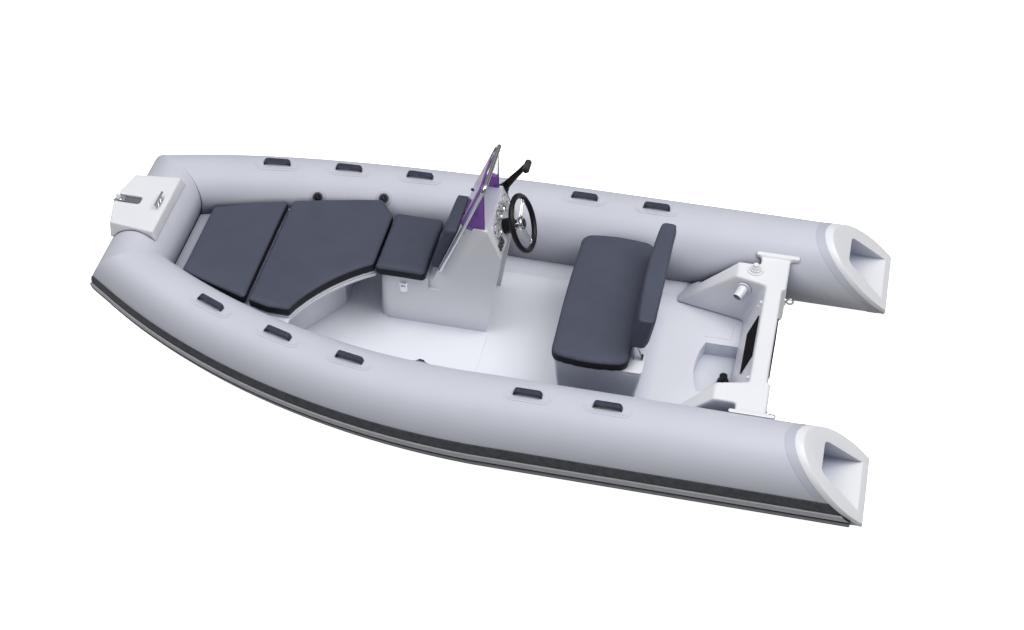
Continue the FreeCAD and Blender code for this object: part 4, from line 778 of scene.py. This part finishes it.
def path_way(t):
    """Unit direction of that centre line."""
    s = 1 - t
    way = (PATH[1] - PATH[0]) * (s * s) + (PATH[2] - PATH[1]) * (2 * s * t) + (PATH[3] - PATH[2]) * (t * t)
    return way.normalized()


def path_radius(t):
    """Radius of the collar there."""
    return TUBE_R + (BOW_R - TUBE_R) * t


def path_share(x):
    """Share of the centre line at place x along the boat."""
    return min((k / 400 for k in range(401)), key=lambda t: abs(path_point(t).x - x))


def nearest_centre(place):
    """Nearest place of the port centre line and the radius there."""
    best = min((k / 200 for k in range(201)), key=lambda t: (path_point(t) - place).length)
    return path_point(best), path_radius(best)


def ring_point(centre, way, radius, degrees):
    """Point round the centre line; 0 degrees points outboard."""
    outward = UP.cross(way).normalized()
    upward = way.cross(outward).normalized()
    angle = math.radians(degrees)
    return centre + outward * (radius * math.cos(angle)) + upward * (radius * math.sin(angle))


def cap_rim_x(z):
    """Place along the boat of the stern cap's slanted rim at height z."""
    return STERN_X + (z - CAP_LOW_Z) / CAP_SLOPE


END_WAY = path_way(1.0)
MITRE = (END_WAY + TO_STARBOARD).normalized()


def to_mitre(place, way):
    """The place moved along way onto the mitre plane of the bow."""
    return place + way * ((PATH[3] - place).dot(MITRE) / way.dot(MITRE))


def strake_row(centre, way, radius):
    """Section of the rubbing strake on the collar."""
    return [ring_point(centre, way, radius + height, degrees) for degrees, height, _ in STRAKE_PROFILE]


def strake_piece(name, rows):
    """Strake through its sections, with dark, grey and pale strips; the pale strips are grey rib with a painted
    highlight.
    """
    strake = shape()
    grow(strake, rows, [STRAKE_SHADES.index(shade) for _, _, shade in STRAKE_PROFILE])
    return finished(name, strake, (STRAKE_RUBBER, STRAKE_RIB, STRAKE_PAINTED_HIGHLIGHT), "boat", sharp=STRAKE_SHARP)


def side_strake(name, side):
    """Rubbing strake along one side, from the stern cap to the bow's mitre."""
    rows = [strake_row(TUBE_AFT, AHEAD, TUBE_R)]
    for place in rows[0]:
        place.x = max(STRAKE_START_X, cap_rim_x(place.z) + STRAKE_CAP_GAP)
    for step in range(PATH_STEPS + 1):
        t = step / PATH_STEPS
        rows.append(strake_row(path_point(t), path_way(t), path_radius(t)))
    rows.append([to_mitre(place, END_WAY) for place in rows[-1]])
    for row in rows:
        for place in row:
            place.y *= side
    return strake_piece(name, rows)


def bow_strake(name):
    """Rubbing strake across the bow."""
    port = [to_mitre(place, TO_STARBOARD) for place in strake_row(PATH[3], TO_STARBOARD, BOW_R)]
    starboard = [Vector((place.x, -place.y, place.z)) for place in port]
    return strake_piece(name, [port, starboard])


def stern_tape(name, side):
    """Glued tape round the collar ahead of the stern cap."""
    tape = shape()
    rows = []
    for step in range(TAPE_STEPS + 1):
        row = []
        for ahead, lift in TAPE_PROFILE:
            place = ring_point(TUBE_AFT, AHEAD, TUBE_R + TAPE_LIFT + lift, 360 * step / TAPE_STEPS)
            place.x = max(STERN_X, cap_rim_x(place.z)) + ahead
            place.y *= side
            row.append(place)
        rows.append(row)
    grow(tape, rows, 0, capped=False)
    return finished(name, tape, (SEAM_FABRIC,), "boat")


def valve_pieces():
    """Inflation valves: fabric patch that follows the collar, flange and grooved cap."""
    store = shape()
    for x, degrees, side in VALVES:
        share = path_share(x)
        centre = path_point(share)
        axis = (ring_point(centre, path_way(share), 1.0, 180 - degrees) - centre).normalized()
        start = centre + axis * path_radius(share)
        first = len(store["verts"])
        rows = []
        for radius, height in VALVE_PROFILE:
            row = circle(start + axis * height, axis, max(radius, TIP_R), VALVE_STEPS)
            if radius > PATCH_R:
                for k, place in enumerate(row):
                    near, size = nearest_centre(place)
                    row[k] = near + (place - near).normalized() * (size + height + PATCH_LIFT)
            rows.append(row)
        grow(store, rows[:4], 0, capped=False)
        grow(store, rows[3:9], 1, capped=False)
        grow(store, rows[8:], 2)
        ridge = axis.orthogonal().normalized()
        ends = [start + axis * RIDGE_LIFT + ridge * (sign * RIDGE_HALF) for sign in (-1, 1)]
        bar(store, ends, (RIDGE_WIDE, RIDGE_WIDE), RIDGE_THICK, axis.cross(ridge).normalized(), 1)
        for k in range(first, len(store["verts"])):
            px, py, pz = store["verts"][k]
            store["verts"][k] = (px, py * side, pz)
    return finished("valves_fitted", store, (SEAM_FABRIC, VALVE_PLASTIC, DARK), "boat", sharp=VALVE_SHARP)


def wheel():
    """Black padded rim on three slotted bright spokes and a bright boss with a dark cap."""
    rim = shape()
    hoop(rim, WHEEL_CENTRE, DASH_NORMAL, RIM_MAJOR, RIM_MINOR, 0)
    for angle in SPOKE_ANGLES:
        a = math.radians(angle)
        way = DASH_WAY * math.sin(a) + TO_PORT * math.cos(a)
        side = DASH_NORMAL.cross(way).normalized()
        for sign in (-1, 1):
            points = [WHEEL_CENTRE + way * out - DASH_NORMAL * deep + side * (sign * aside)
                      for out, deep, aside, _ in SPOKE_LINE]
            bar(rim, points, [width for _, _, _, width in SPOKE_LINE], SPOKE_THICK, side, 1)
        for ends, deep, widths, thick in SPOKE_PLATES:
            points = [WHEEL_CENTRE + way * out - DASH_NORMAL * deep for out in ends]
            bar(rim, points, widths, thick, side, 1)
    turned(rim, WHEEL_CENTRE, DASH_NORMAL, BOSS_PROFILE, 1)
    turned(rim, WHEEL_CENTRE, DASH_NORMAL, BOSS_CAP_PROFILE, 0)
    turned(rim, WHEEL_CENTRE, DASH_NORMAL, SHAFT_PROFILE, 1)
    return finished("steering_wheel_spoked", rim, (DARK, MIRROR), "wheel")


def dash_point(up, y, out=0.0):
    """Place on the dash."""
    return DASH_LOW + DASH_WAY * up + TO_PORT * y + DASH_NORMAL * out


def pointer(store, centre, degrees, reach, lift, widths, thick, mark):
    """Thin bar on a dial at an angle, for its scale and needle; reach gives both ends from the centre."""
    angle = math.radians(degrees)
    out = DASH_WAY * math.sin(angle) - TO_PORT * math.cos(angle)
    ends = [centre + out * way + DASH_NORMAL * lift for way in reach]
    bar(store, ends, widths, thick, DASH_NORMAL.cross(out).normalized(), mark)


def instruments():
    """Four dials with bright bezels, pale faces, scale marks and needles."""
    dials = shape()
    for up, y, radius in DIALS:
        centre = dash_point(up, y)
        turned(dials, centre, DASH_NORMAL, [(radius + more, height) for more, height in BEZEL_PROFILE], 0)
        plate = [(radius + more, height) for more, height in FACE_PROFILE] + [(0.0, FACE_HEIGHT)]
        turned(dials, centre, DASH_NORMAL, plate, 1)
        face = radius - FACE_INSET
        for tick in range(DIAL_TICKS + 1):
            degrees = 90 + DIAL_SWEEP / 2 - DIAL_SWEEP * tick / DIAL_TICKS
            start = TICK_REACH - (TICK_LONG if tick % 3 == 0 else TICK_SHORT)
            pointer(dials, centre, degrees, (face * start, face * TICK_REACH), TICK_LIFT,
                    (face * TICK_WIDE, face * TICK_WIDE), TICK_THICK, 2)
        pointer(dials, centre, NEEDLE_DEGREES, [face * way for way in NEEDLE_REACH], NEEDLE_LIFT,
                [face * wide for wide in NEEDLE_WIDE], NEEDLE_THICK, 3)
        pin = [(face * share, height) for share, height in PIN_PROFILE] + [(0.0, PIN_HEIGHT)]
        turned(dials, centre, DASH_NORMAL, pin, 2, steps=20)
    return finished("gauges_marked", dials, (MIRROR, MARKING, DIAL_FACE, NEEDLE), "boat")


def switches():
    """Black plate with two rows of rocker switches and their marks."""
    panel = shape()
    slab(panel, dash_point(SWITCH_UP, SWITCH_Y), TO_PORT, DASH_WAY, SWITCH_PLATE, 0, round_by=0.12)
    for row in (-1, 1):
        for column in (-1, 0, 1):
            up, y = SWITCH_UP + row * SWITCH_ROWS, SWITCH_Y + column * SWITCH_COLUMNS
            slab(panel, dash_point(up, y, SWITCH_KEY_OUT), TO_PORT, DASH_WAY, SWITCH_KEY, 1, round_by=0.18)
            mark = dash_point(up + SWITCH_MARK_UP, y, SWITCH_MARK_OUT)
            slab(panel, mark, TO_PORT, DASH_WAY, SWITCH_MARK, 2, round_by=0.3)
    return finished("switch_panel_rockers", panel, (DARK, ROCKER, MARKING), "boat")


def fold_x(z):
    """Fold of the screen at height z."""
    share = (z - FOLD_LOW[1]) / (FOLD_HIGH[1] - FOLD_LOW[1])
    return FOLD_LOW[0] + (FOLD_HIGH[0] - FOLD_LOW[0]) * share


def screen_column(x_share, y, corner, z_low):
    """One line of the screen from its lower edge to the top."""
    line = []
    for step in range(SCREEN_ROWS + 1):
        z = z_low + (FOLD_HIGH[1] - z_low) * step / SCREEN_ROWS
        front = fold_x(max(z, FOLD_LOW[1]))
        line.append(Vector((WING_AFT_X + (front - WING_AFT_X) * x_share - corner, y, z)))
    return line


def windscreen():
    """Bent violet screen: front pane between two wings, the far one clear in its upper part."""
    columns = []
    for step in range(WING_STEPS + 1):
        share = WING_SHARE * step / WING_STEPS
        lift = WING_TOE * (1 - step / WING_TOE_STEPS) ** 2 if step < WING_TOE_STEPS else 0.0
        z_low = WING_LOW_Z + (FOLD_LOW[1] - WING_LOW_Z) * share + lift
        columns.append(screen_column(share, WING_NEAR_Y, 0.0, z_low))
    for step in range(1, FOLD_STEPS + 1):
        a = math.radians(90 * step / FOLD_STEPS)
        back = FOLD_R * (1 - math.sin(a)) * FOLD_FLAT
        columns.append(screen_column(1.0, WING_NEAR_Y - FOLD_R * (1 - math.cos(a)), back, FOLD_LOW[1]))
    near_side = list(columns)
    for step in range(1, PANE_STEPS):
        y = WING_NEAR_Y - FOLD_R + (WING_FAR_Y - WING_NEAR_Y + 2 * FOLD_R) * step / PANE_STEPS
        columns.append(screen_column(1.0, y, 0.0, FOLD_LOW[1]))
    for line in near_side[::-1]:
        columns.append([Vector((p.x, WING_NEAR_Y + WING_FAR_Y - p.y, p.z)) for p in line])
    sheet = shape()
    grow(sheet, columns, 0, closed=False, capped=False)
    obj = finished("windscreen_bent", sheet, (ACRYLIC, CLEAR), "boat", sharp=SCREEN_SHARP)
    for face in obj.data.polygons:
        if face.center.y < WING_FAR_Y + CLEAR_DEPTH and face.center.z > CLEAR_Z:
            face.material_index = 1
    thick = obj.modifiers.new("Thick", "SOLIDIFY")
    thick.thickness = SCREEN_THICK
    thick.offset = 0.0
    return obj


def screen_screws():
    """Dark fixing screws of the screen's wings and front pane."""
    screws = shape()
    for x, z in WING_SCREWS:
        for y, out in ((WING_NEAR_Y, TO_PORT), (WING_FAR_Y, TO_STARBOARD)):
            turned(screws, Vector((x, y, z)) + out * WING_SCREW_SINK, out, SCREW_PROFILE, 0, steps=SCREW_STEPS)
    for place in PANE_SCREWS:
        turned(screws, place, PANE_WAY, SCREW_PROFILE, 0, steps=SCREW_STEPS)
    return finished("windscreen_screws", screws, (DARK,), "boat")


def bow_flap():
    """Dark flap between the locker and the bow tube."""
    flap = shape()
    rows = []
    for step in range(FLAP_STEPS + 1):
        y = FLAP_HALF * (2 * step / FLAP_STEPS - 1)
        rows.append([Vector((x, y, z)) for x, z in FLAP_OUTLINE])
    grow(flap, rows, 0)
    return finished("bow_flap", flap, (STRAKE_RUBBER,), "boat")


def drain_plugs():
    """White plugs on the inner face of the transom."""
    store = shape()
    for place in PLUGS:
        turned(store, place, PLUG_WAY, PLUG_PROFILE, 0, steps=32)
    return finished("transom_plugs", store, (WHITE,), "boat")


def latch():
    """Bright toggle latch on the side of the seat locker."""
    store = shape()
    for out, up, size, round_by in LATCH_SLABS:
        slab(store, LATCH_PLACE + TO_PORT * out + UP * up, UP, AHEAD, size, 0, round_by=round_by)
    for sign in (-1, 1):
        ends = [LATCH_PLACE + Vector((sign * LATCH_ROD_X, way, height)) for way, height in LATCH_ROD]
        bar(store, ends, (LATCH_ROD_WIDE, LATCH_ROD_WIDE), LATCH_ROD_WIDE, AHEAD, 0)
        for lift in (-1, 1):
            place = LATCH_PLACE + Vector((sign * LATCH_SCREW_X, LATCH_SCREW_OUT, lift * LATCH_SCREW_UP))
            turned(store, place, TO_PORT, LATCH_SCREW_PROFILE, 0, steps=16)
    return finished("seat_latch_toggle", store, (MIRROR,), "boat")


def control():
    """Engine control: rounded housing, broad tapered arm and a padded grip."""
    store = shape()
    slab(store, HOUSING_PLACE, AHEAD, UP, HOUSING_SIZE, 0, round_by=0.2)
    turned(store, CONTROL_PIVOT + TO_STARBOARD * HUB_OUT, TO_STARBOARD, HUB_PROFILE, 0, steps=36)
    base = CONTROL_PIVOT + TO_STARBOARD * ARM_OUT
    points = [base, *(base + bend for bend in ARM_BENDS), CONTROL_TOP]
    bar(store, points, ARM_WIDTHS, ARM_THICK, (CONTROL_TOP - base).cross(TO_PORT).normalized(), 0)
    turned(store, CONTROL_TOP - TO_PORT * GRIP_BACK, TO_PORT, GRIP_PROFILE, 1, steps=36)
    turned(store, base + TO_STARBOARD * KNOB_OUT, TO_STARBOARD, KNOB_PROFILE, 1, steps=24)
    return finished("engine_control", store, (DARK, ROCKER), "boat")


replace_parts(side_strake("strake_port_ribbed", 1), "strake_port")
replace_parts(side_strake("strake_starboard_ribbed", -1), "strake_starboard")
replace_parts(bow_strake("strake_bow_ribbed"), "strake_bow")
bow_flap()
drain_plugs()
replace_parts(control(), "throttle")
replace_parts(latch(), "seat_latch")
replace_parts(wheel(), "steering_wheel")
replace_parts(instruments(), "gauges")
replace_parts(switches(), "switch_panel")
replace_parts(windscreen(), "windscreen")
screen_screws()
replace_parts(valve_pieces(), "valves")
stern_tape("stern_tape_port", 1)
stern_tape("stern_tape_starboard", -1)


def applied(obj):
    """Mesh of an object with its modifiers applied."""
    graph = bpy.context.evaluated_depsgraph_get()
    graph.update()
    return bpy.data.meshes.new_from_object(obj.evaluated_get(graph))


def puffed(node, name, body, made, more):
    """Cushion: the CAD solid with its ends moved out by more, remeshed and blown up as cloth."""
    low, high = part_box(node)
    low, high = Vector(low), Vector(high)
    mesh = nodes[node].data.copy()
    for vertex in mesh.vertices:
        for axis in range(3):
            share = (vertex.co[axis] - low[axis]) / (high[axis] - low[axis])
            vertex.co[axis] += more[axis][1] * share - more[axis][0] * (1 - share)
    obj = placed(name, mesh)
    mesh.materials.clear()
    mesh.materials.append(made)
    remesh = obj.modifiers.new("Remesh", "REMESH")
    remesh.mode = "VOXEL"
    remesh.voxel_size = PAD_VOXEL
    fine = applied(obj)
    obj.modifiers.clear()
    obj.data = fine
    rest = [vertex.co.copy() for vertex in fine.vertices]
    cloth = obj.modifiers.new("Cloth", "CLOTH")
    cloth.settings.use_pressure = True
    cloth.settings.uniform_pressure_force = PAD_PRESSURE
    cloth.settings.effector_weights.gravity = 0.0
    cloth.settings.quality = PAD_QUALITY
    cloth.point_cache.frame_start = 1
    cloth.point_cache.frame_end = PAD_FRAMES
    for step in range(1, PAD_FRAMES + 1):
        bpy.context.scene.frame_set(step)
    blown = applied(obj)
    for vertex, start, end in zip(fine.vertices, rest, blown.vertices):
        move = end.co - start
        if move.length > PAD_CAP:
            move = move.normalized() * PAD_CAP
        place = start + move
        place.z = max(place.z, low.z + PAD_FLOOR)
        vertex.co = place
    obj.modifiers.clear()
    smooth = obj.modifiers.new("Smooth", "SUBSURF")
    smooth.levels = 1
    smooth.render_levels = 1
    fine.polygons.foreach_set("use_smooth", [True] * len(fine.polygons))
    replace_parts(obj, node)
    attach(obj, body)
    return obj


CUSHIONS = (
    ("helm_cushion", "helm_seat_pad", "helm_top", 0.7, SEAT_UPHOLSTERY, HELM_MORE),
    ("helm_backrest", "helm_back_pad", "helm_rest", 0.8, UPHOLSTERY, REST_MORE),
    ("console_cushion", "console_seat_pad", "seat_lid", 0.7, SEAT_UPHOLSTERY, SEAT_MORE),
    ("console_backrest", "console_back_pad", "boat", 0.8, UPHOLSTERY, REST_MORE),
    ("bow_cushion_front", "bow_pad_forward", "bow_lid", 0.7, SEAT_UPHOLSTERY, EVEN),
    ("bow_cushion_aft", "bow_pad_rear", "boat", 0.7, SEAT_UPHOLSTERY, EVEN),
)
for node, name, body, fill, made, more in CUSHIONS:
    puffed(node, name, body, made, more)


def sky():
    """Soft sky that is brightest overhead, like a large ceiling of light, and white to the camera."""
    world = bpy.data.worlds.new("studio")
    world.use_nodes = True
    tree = world.node_tree
    places = tree.nodes.new("ShaderNodeTexCoord")
    split = tree.nodes.new("ShaderNodeSeparateXYZ")
    height = tree.nodes.new("ShaderNodeMapRange")
    height.inputs["From Min"].default_value = -1.0
    ramp = ramp_node(tree, [(place, shaded(SKY_COLOR, level)) for place, level in SKY_STOPS])
    seen = tree.nodes.new("ShaderNodeLightPath")
    tree.links.new(places.outputs["Generated"], split.inputs["Vector"])
    tree.links.new(split.outputs["Z"], height.inputs["Value"])
    tree.links.new(height.outputs["Result"], ramp.inputs["Fac"])
    result = mixed(tree, "MIX", seen.outputs["Is Camera Ray"], ramp.outputs["Color"], (1.0, 1.0, 1.0, 1.0))
    tree.links.new(result, tree.nodes["Background"].inputs["Color"])
    bpy.context.scene.world = world


def floor_planes():
    """White floor for the camera and a second plane that lights the part from below."""
    half = FLOOR_SIZE / 2
    low_x, low_y, high_x, high_y = FLOOR_HOLE
    corners = [(-half, -half), (half, -half), (half, half), (-half, half)]
    corners += [(low_x, low_y), (high_x, low_y), (high_x, high_y), (low_x, high_y)]
    sides = [(i, (i + 1) % 4, 4 + (i + 1) % 4, 4 + i) for i in range(4)]
    for name, color, glow, height, seen in FLOOR_PLANES:
        made, shader = material(name, color, 0.9)
        shader.inputs["Specular IOR Level"].default_value = 0.0
        shader.inputs["Emission Color"].default_value = (1.0, 1.0, 1.0, 1.0)
        shader.inputs["Emission Strength"].default_value = glow
        mesh = bpy.data.meshes.new(name)
        mesh.from_pydata([(x, y, 0.0) for x, y in corners], [], sides)
        mesh.materials.append(made)
        plane = placed(name, mesh)
        plane.visible_diffuse = not seen
        plane.visible_glossy = not seen
        plane.visible_camera = seen
        plane.location.z = height


def lamps():
    """Soft round lamps aimed at the boat."""
    for name, place, size, energy in LAMPS:
        lamp = bpy.data.lights.new(name, "AREA")
        lamp.shape = "DISK"
        lamp.size = size
        lamp.energy = energy
        holder = placed(name, lamp)
        holder.location = place
        holder.rotation_euler = (LAMP_AIM - Vector(place)).to_track_quat("-Z", "Y").to_euler()


def camera():
    """Camera of the photograph."""
    lens = bpy.data.cameras.new("camera")
    lens.lens = CAMERA_LENS
    lens.sensor_width = SENSOR_WIDTH
    lens.clip_end = CAMERA_REACH
    holder = placed("camera", lens)
    right = Vector(CAMERA_RIGHT)
    up = Vector(CAMERA_UP)
    turn = Matrix((right, up, right.cross(up))).transposed().to_4x4()
    holder.matrix_world = Matrix.Translation(Vector(CAMERA_PLACE)) @ turn
    bpy.context.scene.camera = holder
    bpy.context.scene.view_settings.view_transform = "Standard"


floor_planes()
sky()
lamps()
camera()
